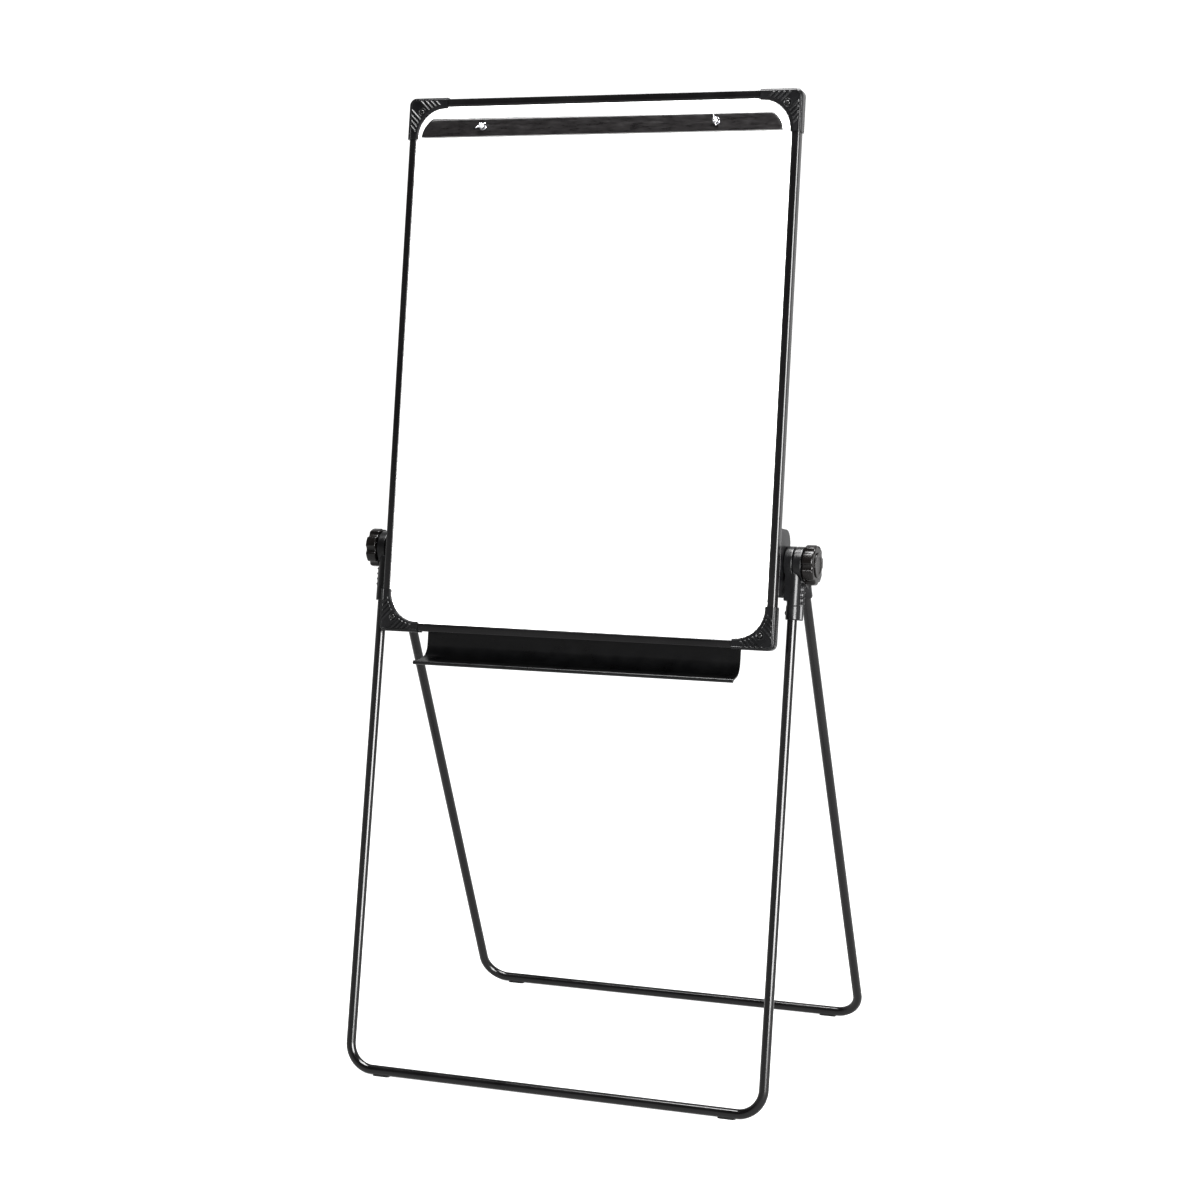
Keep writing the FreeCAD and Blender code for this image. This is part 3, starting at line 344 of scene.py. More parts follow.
def fibre(name, color, scale=900.0):
    """Pressed fibre or board: short mottled strands."""
    s = Shader(name, color, 0.85, specular=0.2)
    strands = s.noise(scale, detail=6.0, roughness=0.7, stretch=(1, 1, 0.3))
    s.use("Base Color", s.ramp(strands, [(0.3, tint(color, 0.7)), (0.75, tint(color, 1.15))]))
    s.bump(strands, 0.1 * MM, 0.4)
    return s.material


def backing_sheet(name, color):
    """Pebbled dark barrier sheet on the back of the board."""
    s = Shader(name, color, 0.55, specular=0.35)
    pebbles = s.cells(650.0, feature="SMOOTH_F1")
    clouds = s.noise(5.0, detail=6.0)
    s.use("Base Color", s.ramp(clouds, [(0.3, color), (0.75, tint(color, 1.5))]))
    s.use("Roughness", s.span(clouds, 0.48, 0.64))
    s.bump(pebbles, 0.2 * MM, 0.5)
    return s.material


def rubber(name, color):
    """Dull black rubber with fine ribs."""
    s = Shader(name, color, 0.75, specular=0.25)
    ribs = s.noise(300.0, detail=3.0, stretch=(0.05, 1, 1))
    s.use("Base Color", s.ramp(ribs, [(0.3, color), (0.8, tint(color, 1.7))]))
    s.bump(ribs, 0.2 * MM, 0.5)
    return s.material


BLACK = (0.0013, 0.0012, 0.0013)
MATERIALS = {
    "tube_black": coated_metal("tube_black", BLACK, 0.17),
    "frame_black": coated_metal("frame_black", BLACK, 0.20, grain=1200.0),
    "moulded_black": moulded_plastic("moulded_black", (0.0016, 0.0016, 0.0018), 0.28),
    "knob_black": moulded_plastic("knob_black", (0.0016, 0.0013, 0.0012), 0.24, grain=1800.0),
    "glide_black": moulded_plastic("glide_black", (0.004, 0.004, 0.004), 0.50),
    "tray_black": moulded_plastic("tray_black", (0.0010, 0.0010, 0.0011), 0.30, grain=2200.0),
    "clamp_black": grained_coating("clamp_black", (0.0026, 0.0023, 0.0024), 0.30),
    "black_screw": coated_metal("black_screw", (0.003, 0.003, 0.003), 0.20, grain=2500.0),
    "white_melamine": writing_board("white_melamine"),
    "stud_chrome": plated_metal("stud_chrome", (0.50, 0.50, 0.52), 0.10),
    "bolt_steel": plated_metal("bolt_steel", (0.52, 0.52, 0.53), 0.28),
    "brass_insert": plated_metal("brass_insert", (0.70, 0.52, 0.24), 0.3),
    "fibre_washer": fibre("fibre_washer", (0.05, 0.035, 0.03)),
    "core_board": fibre("core_board", (0.42, 0.30, 0.18), 500.0),
    "backer_sheet": backing_sheet("backer_sheet", (0.03, 0.03, 0.033)),
    "grip_rubber": rubber("grip_rubber", (0.010, 0.010, 0.010)),
}


# ------------------------------------------------------------------ mesh helpers
class Shape:
    """Collects grids of points, then becomes one smooth-shaded mesh."""

    def __init__(self):
        self.vertices = []
        self.faces = []

    def grid(self, rows, loop=False):
        """Quads between neighbouring rows of points; loop joins each row's end to its start."""
        first = len(self.vertices)
        width = len(rows[0])
        for row in rows:
            self.vertices.extend(row)
        for r in range(len(rows) - 1):
            for c in range(width if loop else width - 1):
                a = first + r * width + c
                b = first + r * width + (c + 1) % width
                self.faces.append((a, b, b + width, a + width))
        return self

    def polygon(self, ring):
        """One flat face over a ring of points."""
        first = len(self.vertices)
        self.vertices.extend(ring)
        self.faces.append(tuple(range(first, first + len(ring))))
        return self

    def tube(self, rows):
        """Closed rings joined along their length, with both ends filled."""
        return self.grid(rows, loop=True).polygon(rows[0]).polygon(rows[-1])

    def mesh(self, name, place, sharp=38.0):
        """The finished mesh, with edges that bend by more than sharp degrees left crisp."""
        mesh = bpy.data.meshes.new(name)
        mesh.from_pydata([place @ Vector(v) for v in self.vertices], [], self.faces)
        work = bmesh.new()
        work.from_mesh(mesh)
        bmesh.ops.remove_doubles(work, verts=work.verts, dist=1e-6)
        bmesh.ops.dissolve_degenerate(work, edges=work.edges, dist=1e-7)
        bmesh.ops.recalc_face_normals(work, faces=work.faces)
        for face in work.faces:
            face.smooth = True
        for edge in work.edges:
            edge.smooth = len(edge.link_faces) == 2 and edge.calc_face_angle() < math.radians(sharp)
        work.to_mesh(mesh)
        work.free()
        return mesh


def new_object(name, data):
    """An object made from its data and linked to the scene."""
    obj = bpy.data.objects.new(name, data)
    bpy.context.scene.collection.objects.link(obj)
    return obj


def add_piece(name, mesh, *nodes):
    """Show a mesh instead of the CAD nodes it stands for, riding on their body."""
    obj = new_object(name, mesh)
    slot = SLOT_OF[nodes[0]]
    mesh.materials.append(MATERIALS[slot])
    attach(obj, BODY_OF[nodes[0]])
    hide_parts(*nodes)
    return obj


def arc(centre, radius, start, end, steps):
    """Points on an arc in a plane, angles in degrees."""
    angles = [math.radians(start + (end - start) * n / steps) for n in range(steps + 1)]
    return [(centre[0] + radius * math.cos(a), centre[1] + radius * math.sin(a)) for a in angles]


def circle(segments):
    """Angles once round, the first not repeated."""
    return [2 * math.pi * n / segments for n in range(segments)]


def ring_x(x, radius, segments):
    """Points round the X axis."""
    return [Vector((x, radius * math.cos(a), radius * math.sin(a))) for a in circle(segments)]


def ring_y(centre, radius, y, segments):
    """Points round an axis along Y that passes through centre, given as (x, z)."""
    x, z = centre
    return [Vector((x + radius * math.cos(a), y, z + radius * math.sin(a))) for a in circle(segments)]


def turned(profile, segments=64):
    """A shape turned about X from (x, radius) points, first and last on or near the axis."""
    shape = Shape()
    rows = [ring_x(x, max(radius, 1e-5), segments) for x, radius in profile]
    return shape.tube(rows)


def rounded_steps(points, radius, steps=4):
    """Replace each inner corner of an open profile with a small arc-like curve."""
    smoothed = [Vector(points[0])]
    for before, corner, after in zip(points, points[1:], points[2:]):
        corner = Vector(corner)
        into = Vector(before) - corner
        out = Vector(after) - corner
        cut = min(radius, into.length * 0.45, out.length * 0.45)
        start = corner + into.normalized() * cut
        end = corner + out.normalized() * cut
        for n in range(steps + 1):
            t = n / steps
            smoothed.append(start * (1 - t) ** 2 + corner * 2 * t * (1 - t) + end * t ** 2)
    smoothed.append(Vector(points[-1]))
    return smoothed


def smoothstep(value, low, high):
    """0 below low, 1 above high and a smooth rise between them."""
    t = max(0.0, min(1.0, (value - low) / (high - low)))
    return t * t * (3.0 - 2.0 * t)


# ------------------------------------------------------------------ leg tubes
def leg_tube(name, side):
    """U-shaped tube; side is -1 for the front leg and 1 for the rear leg."""
    low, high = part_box(name)
    half_width = high.x - TUBE_RADIUS
    reach = (high.y if side > 0 else low.y) - side * TUBE_RADIUS - HUB.y
    drop = HUB.z - low.z - TUBE_RADIUS
    length = math.sqrt(reach ** 2 + drop ** 2 - TUBE_OFFSET ** 2)
    lean = side * (math.atan2(abs(reach), drop) - math.atan2(TUBE_OFFSET, length))
    place = HUB_PLACE @ Matrix.Rotation(lean, 4, "X")
    y = side * TUBE_OFFSET
    straight = half_width - TUBE_BEND
    bend_steps = 20
    path = [(-half_width, -TUBE_TOP), (-half_width, -TUBE_TOP * 2)]
    path += arc((-straight, -length + TUBE_BEND), TUBE_BEND, 180, 270, bend_steps)
    path += [(0.0, -length)]
    path += arc((straight, -length + TUBE_BEND), TUBE_BEND, 270, 360, bend_steps)
    path += [(half_width, -TUBE_TOP * 2), (half_width, -TUBE_TOP)]
    outer = sweep_rings(path, y, TUBE_RADIUS)
    inner = sweep_rings(path, y, TUBE_RADIUS - TUBE_WALL)
    shape = Shape().grid(outer, loop=True).grid(inner, loop=True)
    shape.grid([outer[0], inner[0]], loop=True).grid([outer[-1], inner[-1]], loop=True)
    return add_piece(name + "_swept", shape.mesh(name, place), name)


def sweep_rings(path, y, radius, segments=40):
    """Rings square to a path that lies in an XZ plane."""
    rings = []
    for index, point in enumerate(path):
        before = path[max(index - 1, 0)]
        after = path[min(index + 1, len(path) - 1)]
        along = Vector((after[0] - before[0], 0, after[1] - before[1])).normalized()
        across = Vector((along.z, 0, -along.x))
        ring = []
        for angle in circle(segments):
            offset = across * (radius * math.cos(angle)) + Vector((0, 1, 0)) * (radius * math.sin(angle))
            ring.append(Vector((point[0], y, point[1])) + offset)
        rings.append(ring)
    return rings


# ------------------------------------------------------------------ hubs and pivot brackets
def moulded_copy(node, rounds=4):
    """The CAD piece with its hard edges and joins run into moulded fillets."""
    source = new_object(node + "_source", frame["nodes"][node].data.copy())
    remesh = source.modifiers.new("remesh", "REMESH")
    remesh.mode = "VOXEL"
    remesh.voxel_size = MOULD_VOXEL
    remesh.use_smooth_shade = True
    soften = source.modifiers.new("soften", "SMOOTH")
    soften.factor = 0.5
    soften.iterations = rounds
    mesh = bpy.data.meshes.new_from_object(source.evaluated_get(bpy.context.evaluated_depsgraph_get()))
    bpy.data.objects.remove(source)
    mesh.materials.clear()
    for face in mesh.polygons:
        face.use_smooth = True
    return add_piece(node + "_moulded", mesh, node)


def hubs_and_pivot_brackets():
    """The moulded and cast pieces of the pivot stack, left and right."""
    for side in ("left", "right"):
        moulded_copy("front_leg_hub_" + side)
        moulded_copy("rear_leg_hub_" + side)
        moulded_copy("pivot_bracket_" + side)


def side_place(side):
    """The hub's axes, mirrored for the left side."""
    return HUB_PLACE if side == "right" else HUB_PLACE @ MIRROR_X


def bolt_heads():
    """Domed head of each pivot bolt, with a round recess, on the board side of its bracket."""
    for side in ("left", "right"):
        node = "pivot_bolt_" + side
        place = side_place(side)
        low, high = box_in(place, node)
        radius = (high.z - low.z) / 2.0
        outline = [(low.x + BOLT_RECESS, 0.0),
                   (low.x + BOLT_RECESS, 2.4 * MM),
                   (low.x, 2.7 * MM),
                   (low.x, radius * 0.62),
                   (low.x + BOLT_HEAD * 0.72, radius),
                   (low.x + BOLT_HEAD, radius),
                   (low.x + BOLT_HEAD, BOLT_SHANK),
                   (high.x, BOLT_SHANK),
                   (high.x, 0.0)]
        mesh = turned(rounded_steps(outline, 0.8 * MM), 48).mesh(node, place)
        add_piece(node + "_turned", mesh, node)


# ------------------------------------------------------------------ knobs
def knob_radius(angle, radius):
    """Outer radius of the lobed knob: a circle with a round flute between each pair of lobes."""
    pitch = 2 * math.pi / KNOB_LOBES
    offset = ((angle / pitch) % 1.0 - 0.5) * pitch
    orbit = radius + FLUTE_ORBIT_EXTRA
    reach = orbit * math.sin(offset)
    if abs(reach) >= FLUTE_RADIUS:
        return radius
    flute = orbit * math.cos(offset) - math.sqrt(FLUTE_RADIUS ** 2 - reach ** 2)
    h = max(0.0, min(1.0, 0.5 + 0.5 * (radius - flute) / FLUTE_BLEND))
    return radius * (1 - h) + flute * h - FLUTE_BLEND * h * (1 - h)


def knob(side):
    """Lobed hand knob with soft edges and a seat for its cap."""
    node = "knob_body_" + side
    place = side_place(side)
    low, high = box_in(place, node)
    cap_low, cap_high = box_in(place, "knob_cap_" + side)
    radius = high.z
    cap_radius = (cap_high.z - cap_low.z) / 2.0
    # (x, value, lobed): value is a radius, or an inset from the lobed outline
    rows = [(low.x, KNOB_BORE, False), (low.x, radius * 0.5, False), (low.x + 0.4 * MM, 7.0 * MM, True)]
    rows += [(x, inset, True) for x, inset in knob_rim(low.x, KNOB_EDGE * 0.8, False)]
    rows += [(x, inset, True) for x, inset in knob_rim(high.x, KNOB_EDGE, True)]
    rows += [(high.x - 0.3 * MM, cap_radius + 1.6 * MM, False),
             (high.x - 0.3 * MM, cap_radius + 0.5 * MM, False),
             (high.x - 0.8 * MM, cap_radius + 0.1 * MM, False),
             (high.x - CAP_SEAT, cap_radius, False),
             (high.x - CAP_SEAT, KNOB_BORE, False)]
    rings = []
    for x, value, lobed in rows:
        ring = []
        for angle in circle(KNOB_SEGMENTS):
            r = knob_radius(angle, radius) - value if lobed else value
            ring.append(Vector((x, r * math.cos(angle), r * math.sin(angle))))
        rings.append(ring)
    shape = Shape().grid(rings, loop=True).grid([rings[-1], rings[0]], loop=True)
    add_piece(node + "_lobed", shape.mesh(node, place), node)


def knob_rim(x, edge, outer, steps=6):
    """(x, inset) rows that round one rim of the knob."""
    pairs = []
    for n in range(steps + 1):
        angle = math.radians(90 * n / steps)
        if outer:
            pairs.append((x - edge * (1 - math.sin(angle)), edge * (1 - math.cos(angle))))
        else:
            pairs.append((x + edge * (1 - math.cos(angle)), edge * (1 - math.sin(angle))))
    return pairs


def knob_cap(side):
    """Round cap with a dished face."""
    node = "knob_cap_" + side
    place = side_place(side)
    low, high = box_in(place, node)
    radius = (high.z - low.z) / 2.0
    dish = radius * 0.74
    outline = [(low.x, 0.0),
               (low.x, radius - 0.1 * MM),
               (high.x - 0.2 * MM, radius - 0.1 * MM),
               (high.x, radius - 2.2 * MM),
               (high.x, dish),
               (high.x - 1.0 * MM, dish - 1.2 * MM),
               (high.x - CAP_RECESS, dish * 0.5),
               (high.x - CAP_RECESS, 0.0)]
    mesh = turned(rounded_steps(outline, 0.9 * MM), 96).mesh(node, place)
    add_piece(node + "_dished", mesh, node)


# ------------------------------------------------------------------ board frame
def frame_bar(node, inner):
    """Frame section with soft edges and a groove for the panel.

    inner says whether the panel lies on the section's high or low side.
    """
    low, high = box_in(BOARD_PLACE, node)
    upright = high.z - low.z > high.x - low.x
    groove_front = box_in(BOARD_PLACE, "writing_surface")[0].y
    groove_back = box_in(BOARD_PLACE, "board_backer")[1].y
    # outline in (across, depth), with the panel entering from the high side of "across"
    middle = (FRAME_FACE / 2.0, low.y)
    outer_bevel = [(2.6 * MM, low.y), (0.0, low.y + 2.0 * MM)] if upright else [(0.0, low.y)]
    outline = [middle] + outer_bevel
    outline += [(0.0, high.y), (FRAME_FACE, high.y)]
    outline += [(FRAME_FACE, groove_back), (FRAME_WALL, groove_back)]
    outline += [(FRAME_WALL, groove_front), (FRAME_FACE, groove_front)]
    outline += [(FRAME_FACE, low.y + 1.6 * MM), (FRAME_FACE - 2.4 * MM, low.y), middle]
    points = rounded_steps(outline, 1.6 * MM)[:-1]
    steps = 8
    rows = []
    for n in range(steps + 1):
        row = []
        for across, depth in points:
            if upright:
                x = low.x + across if inner == "high" else high.x - across
                row.append(Vector((x, depth, low.z + (high.z - low.z) * n / steps)))
            else:
                z = low.z + across if inner == "high" else high.z - across
                row.append(Vector((low.x + (high.x - low.x) * n / steps, depth, z)))
        rows.append(row)
    add_piece(node + "_folded", Shape().tube(rows).mesh(node, BOARD_PLACE, 50.0), node)


# ------------------------------------------------------------------ corner brackets
def bracket_paths(outer_x, outer_z):
    """Matching points along the inner and outer edges of an L with a round inside corner."""
    inner_x = outer_x - BRACKET_WIDTH
    inner_z = outer_z - BRACKET_WIDTH
    centre_x = inner_x - BRACKET_ARC
    centre_z = inner_z - BRACKET_ARC
    run = centre_x - (outer_x - BRACKET_ARM)
    arm_steps = max(2, int(run / BRACKET_STEP))
    arc_steps = int((BRACKET_ARC + BRACKET_WIDTH) * 1.6 / BRACKET_STEP)
    inner = []
    outer = []
    for n in range(arm_steps):
        x = outer_x - BRACKET_ARM + run * n / arm_steps
        inner.append((x, inner_z))
        outer.append((x, outer_z))
    for n in range(arc_steps + 1):
        angle = math.radians(90.0 - 90.0 * n / arc_steps)
        toward = Vector((math.cos(angle), math.sin(angle)))
        inner.append((centre_x + BRACKET_ARC * toward.x, centre_z + BRACKET_ARC * toward.y))
        outer.append(rounded_corner_hit(centre_x, centre_z, toward, outer_x, outer_z))
    for n in range(1, arm_steps + 1):
        z = centre_z - run * n / arm_steps
        inner.append((inner_x, z))
        outer.append((outer_x, z))
    return inner, outer


def rounded_corner_hit(x, z, toward, outer_x, outer_z):
    """Where a ray from (x, z) leaves a square corner that is rounded."""
    reach_x = (outer_x - x) / max(toward.x, 1e-9)
    reach_z = (outer_z - z) / max(toward.y, 1e-9)
    hit = Vector((x, z)) + toward * min(reach_x, reach_z)
    centre = Vector((outer_x - BRACKET_CORNER, outer_z - BRACKET_CORNER))
    if hit.x > centre.x and hit.y > centre.y:
        gap = centre - Vector((x, z))
        middle = gap.dot(toward)
        reach = middle + math.sqrt(max(0.0, BRACKET_CORNER ** 2 - gap.length_squared + middle ** 2))
        hit = Vector((x, z)) + toward * reach
    return (hit.x, hit.y)


def bracket_relief(x, z, from_inner, from_outer, outer_x, outer_z):
    """How far the front of the bracket stands forward at a point: bevel, ribs, rim and screw dish."""
    relief = 0.0
    if from_inner < BRACKET_BEVEL:
        relief -= BRACKET_BEVEL_DROP * (1.0 - from_inner / BRACKET_BEVEL) ** 1.5
    if from_outer < BRACKET_EDGE:
        relief -= BRACKET_EDGE - math.sqrt(BRACKET_EDGE ** 2 - (BRACKET_EDGE - from_outer) ** 2)
    diagonal = abs((x - outer_x) - (z - outer_z)) / math.sqrt(2.0)
    fade = smoothstep(from_inner, BRACKET_BEVEL, BRACKET_BEVEL + 1.2 * MM)
    fade *= smoothstep(from_outer, CORNER_RIM_INSET + 0.6 * MM, CORNER_RIM_INSET + 2.0 * MM)
    for number in range(CORNER_RIB_COUNT):
        off = abs(diagonal - CORNER_RIB_FIRST - number * CORNER_RIB_PITCH)
        relief += CORNER_RIB_HEIGHT * fade * (1.0 - smoothstep(off, 0.5 * MM, 2.2 * MM))
    off = abs(from_outer - CORNER_RIM_INSET)
    relief += CORNER_RIM_HEIGHT * (1.0 - smoothstep(off, 0.3 * MM, 1.3 * MM))
    from_screw = math.hypot(outer_x - BRACKET_SCREW - x, outer_z - BRACKET_SCREW - z)
    off = abs(from_screw - SCREW_RIM_RADIUS)
    relief += SCREW_RIM_HEIGHT * (1.0 - smoothstep(off, 0.3 * MM, 1.0 * MM))
    relief -= SCREW_DISH_DEPTH * (1.0 - smoothstep(from_screw, SCREW_DISH_RADIUS, SCREW_DISH_END))
    return relief


def inset_from_edges(x, z, outer_x, outer_z):
    """Distance from a point to the bracket's outer edges, round the corner as well."""
    past_x = x - outer_x + BRACKET_CORNER
    past_z = z - outer_z + BRACKET_CORNER
    if past_x > 0 and past_z > 0:
        return max(0.0, BRACKET_CORNER - math.hypot(past_x, past_z))
    return max(0.0, min(outer_x - x, outer_z - z))


def corner_bracket(node, flip_x, flip_z):
    """Moulded corner cap, made for the top right corner and mirrored to its own."""
    top_low, top_high = box_in(BOARD_PLACE, "corner_bracket_top_right")
    bottom_low = box_in(BOARD_PLACE, "corner_bracket_bottom_right")[0]
    outer_x, outer_z = top_high.x, top_high.z
    front = top_low.y + BRACKET_SETBACK
    back = top_high.y
    middle_z = (top_high.z + bottom_low.z) / 2.0
    inner, outer = bracket_paths(outer_x, outer_z)
    across = 40
    rows = []
    for (ix, iz), (ox, oz) in zip(inner, outer):
        width = math.hypot(ox - ix, oz - iz)
        row = [Vector((ix, back, iz))]
        for n in range(across + 1):
            t = n / across
            x = ix + (ox - ix) * t
            z = iz + (oz - iz) * t
            from_outer = inset_from_edges(x, z, outer_x, outer_z)
            row.append(Vector((x, front - bracket_relief(x, z, width * t, from_outer, outer_x, outer_z), z)))
        row.append(Vector((ox, back - 1.5 * MM, oz)))
        row.append(Vector((ox + (ix - ox) * 0.07, back, oz + (iz - oz) * 0.07)))
        rows.append(row)
    place = BOARD_PLACE
    if flip_z:
        place = place @ Matrix.Translation((0, 0, 2 * middle_z)) @ Matrix.Scale(-1.0, 4, (0, 0, 1))
    if flip_x:
        place = place @ MIRROR_X
    add_piece(node + "_ribbed", Shape().tube(rows).mesh(node, place, 60.0), node)


def corner_brackets():
    """One bracket in each corner of the frame."""
    for flip_z, height in ((False, "top"), (True, "bottom")):
        for flip_x, side in ((False, "right"), (True, "left")):
            corner_bracket("corner_bracket_%s_%s" % (height, side), flip_x, flip_z)


def screw_head_rows(x, z, front, steps=14):
    """Rings of a domed head with a cross recess, from its centre to its edge."""
    rows = []
    for n in range(steps + 1):
        radius = SCREW_HEAD_RADIUS * n / steps
        dome = SCREW_HEAD_DOME * math.sqrt(max(0.0, 1.0 - (radius / SCREW_HEAD_RADIUS) ** 2.6))
        ring = []
        for angle in circle(SCREW_SEGMENTS):
            dx = radius * math.cos(angle)
            dz = radius * math.sin(angle)
            in_arm = 1.0 - smoothstep(min(abs(dx), abs(dz)), 0.35 * MM, 0.6 * MM)
            in_reach = 1.0 - smoothstep(radius, 2.1 * MM, 2.6 * MM)
            cross = SCREW_CROSS_DEPTH * in_arm * in_reach
            ring.append(Vector((x + dx, front + SCREW_HEAD_DOME - dome + cross, z + dz)))
        rows.append(ring)
    return rows


def corner_screws():
    """Four cross-recessed pan head screws, as one piece."""
    node = "corner_screws"
    low, high = box_in(BOARD_PLACE, node)
    under_head = low.y + SCREW_HEAD_HEIGHT
    shank = [(SCREW_HEAD_RADIUS, under_head), (SCREW_SHANK, under_head), (SCREW_SHANK, high.y)]
    shape = Shape()
    for x in (low.x + SCREW_HEAD_RADIUS, high.x - SCREW_HEAD_RADIUS):
        for z in (low.z + SCREW_HEAD_RADIUS, high.z - SCREW_HEAD_RADIUS):
            rows = screw_head_rows(x, z, low.y)
            rows += [ring_y((x, z), radius, y, SCREW_SEGMENTS) for radius, y in shank]
            shape.tube(rows)
    add_piece("corner_screws_pan", shape.mesh("corner_screws_pan", BOARD_PLACE), node)


# ------------------------------------------------------------------ pad clamp
def clamp_profile(low, high):
    """(y, z) outline of the bar, from its top back edge round the front to its lower back edge."""
    height = high.z - low.z
    bevel_steps = 5
    profile = [(high.y, high.z)]
    profile += [(low.y + CLAMP_BEVEL_DEPTH + 0.6 * MM, high.z)]
    profile += [(low.y + CLAMP_BEVEL_DEPTH + 0.2 * MM, high.z - 0.1 * MM)]
    for n in range(bevel_steps + 1):
        t = n / bevel_steps
        profile.append((low.y + CLAMP_BEVEL_DEPTH * (1 - t), high.z - 0.3 * MM - CLAMP_BEVEL_RISE * t))
    profile += [(low.y, low.z + height * n / 10.0) for n in range(8, 1, -1)]
    for across, down in quarter(CLAMP_BOTTOM_ROUND):
        profile.append((low.y + CLAMP_BOTTOM_ROUND - across, low.z + CLAMP_BOTTOM_ROUND - down))
    return profile + [(high.y, low.z)]


def clamp_bar():
    """Covered bar with a bevelled top edge and slanting, bulging ends."""
    node = "pad_clamp_bar"
    low, high = box_in(BOARD_PLACE, node)
    profile = clamp_profile(low, high)
    columns = 240
    rows = []
    for n in range(columns + 1):
        row = []
        for y, z in profile:
            rise = (z - low.z) / (high.z - low.z)
            half = high.x - CLAMP_END_CUT * rise ** 2.0
            x = half * (2.0 * n / columns - 1.0)
            past = max(0.0, CLAMP_END_ROUND - half + abs(x))
            front = low.y + CLAMP_END_ROUND - math.sqrt(max(0.0, CLAMP_END_ROUND ** 2 - past ** 2))
            row.append(Vector((x, max(y, front) if y < high.y else y, z)))
        rows.append(row)
    add_piece("pad_clamp_bar_covered", Shape().tube(rows).mesh(node, BOARD_PLACE, 45.0), node)


def quarter(radius, steps=8):
    """Points on a quarter circle about the origin."""
    return arc((0.0, 0.0), radius, 0, 90, steps)


def stud_places():
    """(x, z) of each stud's axis, left first."""
    low, high = box_in(BOARD_PLACE, "clamp_studs")
    z = (low.z + high.z) / 2.0
    return [(low.x + STUD_HEAD_RADIUS, z), (high.x - STUD_HEAD_RADIUS, z)]


def threaded_studs():
    """Plated studs with a cut thread and a wide head behind the panel."""
    node = "clamp_studs"
    low, high = box_in(BOARD_PLACE, node)
    tip, end = low.y, high.y
    shape = Shape()
    segments = 36
    steps = int((end - tip - STUD_PLAIN) / THREAD_PITCH * 8)
    head = [(STUD_RADIUS, end - 1.8 * MM), (6.6 * MM, end - 1.8 * MM),
            (STUD_HEAD_RADIUS, end - 1.2 * MM), (6.0 * MM, end)]
    for x, z in stud_places():
        rows = [[Vector((x, tip - 0.2 * MM, z))] * segments]
        for n in range(steps + 1):
            y = tip + (end - STUD_PLAIN - tip) * n / steps
            lead = smoothstep(y - tip, -0.1 * MM, 1.0 * MM)
            ring = []
            for k, angle in enumerate(circle(segments)):
                phase = ((y - tip) / THREAD_PITCH - k / segments) % 1.0
                radius = STUD_RADIUS * (0.72 + 0.28 * lead) - THREAD_DEPTH * (1.0 - abs(2.0 * phase - 1.0))
                ring.append(Vector((x + radius * math.cos(angle), y, z + radius * math.sin(angle))))
            rows.append(ring)
        rows += [ring_y((x, z), radius, y, segments) for radius, y in head]
        shape.tube(rows)
    add_piece("clamp_studs_threaded", shape.mesh(node, BOARD_PLACE, 60.0), node)


def clamp_washers():
    """Flat washers under the wing nuts, with broken edges."""
    node = "clamp_washers"
    low, high = box_in(BOARD_PLACE, node)
    radius = (high.z - low.z) / 2.0
    section = [(WASHER_BORE, high.y), (radius - 0.15 * MM, high.y), (radius, high.y - 0.2 * MM),
               (radius, low.y + 0.3 * MM), (radius - 0.25 * MM, low.y), (WASHER_BORE + 0.2 * MM, low.y),
               (WASHER_BORE, low.y + 0.2 * MM), (WASHER_BORE, high.y)]
    shape = Shape()
    for centre in stud_places():
        shape.grid([ring_y(centre, r, y, 48) for r, y in section], loop=True)
    add_piece("clamp_washers_chamfered", shape.mesh(node, BOARD_PLACE), node)


def wing_direction(node, centre):
    """Unit vector, in the board's axes, from the stud to the nut's furthest wing tip."""
    back = BOARD_PLACE.inverted()
    points = [back @ vertex.co for vertex in frame["nodes"][node].data.vertices]
    offsets = [Vector((p.x - centre[0], 0, p.z - centre[1])) for p in points]
    return max(offsets, key=lambda offset: offset.length).normalized()


def wing_nut(node, centre):
    """Plated wing nut: a domed, tapered hub and two ears that flare out and forwards."""
    low, high = box_in(BOARD_PLACE, node)
    along = wing_direction(node, centre)
    base = Vector((centre[0], high.y, centre[1]))
    forward = Vector((0, -1, 0))
    side = forward.cross(along)
    profile = [(WING_BORE, 0.0), (5.0 * MM, 0.0), (5.4 * MM, 0.5 * MM), (5.0 * MM, 3.0 * MM),
               (4.3 * MM, 6.0 * MM), (3.7 * MM, 7.0 * MM), (WING_BORE, 7.1 * MM), (WING_BORE, 0.0)]
    rows = []
    for radius, rise in profile:
        ring = []
        for angle in circle(48):
            sideways = along * (radius * math.cos(angle)) + side * (radius * math.sin(angle))
            ring.append(base + forward * rise + sideways)
        rows.append(ring)
    shape = Shape().grid(rows, loop=True)
    for sign in (-1, 1):
        shape.tube(wing_rows(base, along * sign, side, forward, high.y - low.y))
    add_piece(node + "_cast", shape.mesh(node, BOARD_PLACE, 55.0), node)


def wing_rows(base, outward, side, forward, length):
    """Oval sections from the hub to the tip of one ear."""
    rows = []
    steps = 18
    for n in range(steps + 1):
        t = n / steps
        reach = 3.0 * MM + 7.4 * MM * t
        rise = 3.4 * MM + (length - 7.0 * MM) * t ** 0.8
        height = 2.2 * MM + 1.7 * MM * math.sin(math.pi * min(1.0, 0.25 + 0.75 * t))
        height *= math.sqrt(max(0.02, 1 - t ** 5))
        thick = (1.5 * MM - 0.35 * MM * t) * math.sqrt(max(0.02, 1 - t ** 6))
        ring = []
        for angle in circle(24):
            point = base + outward * reach + forward * (rise + height * math.cos(angle))
            ring.append(point + side * (thick * math.sin(angle)))
        rows.append(ring)
    return rows


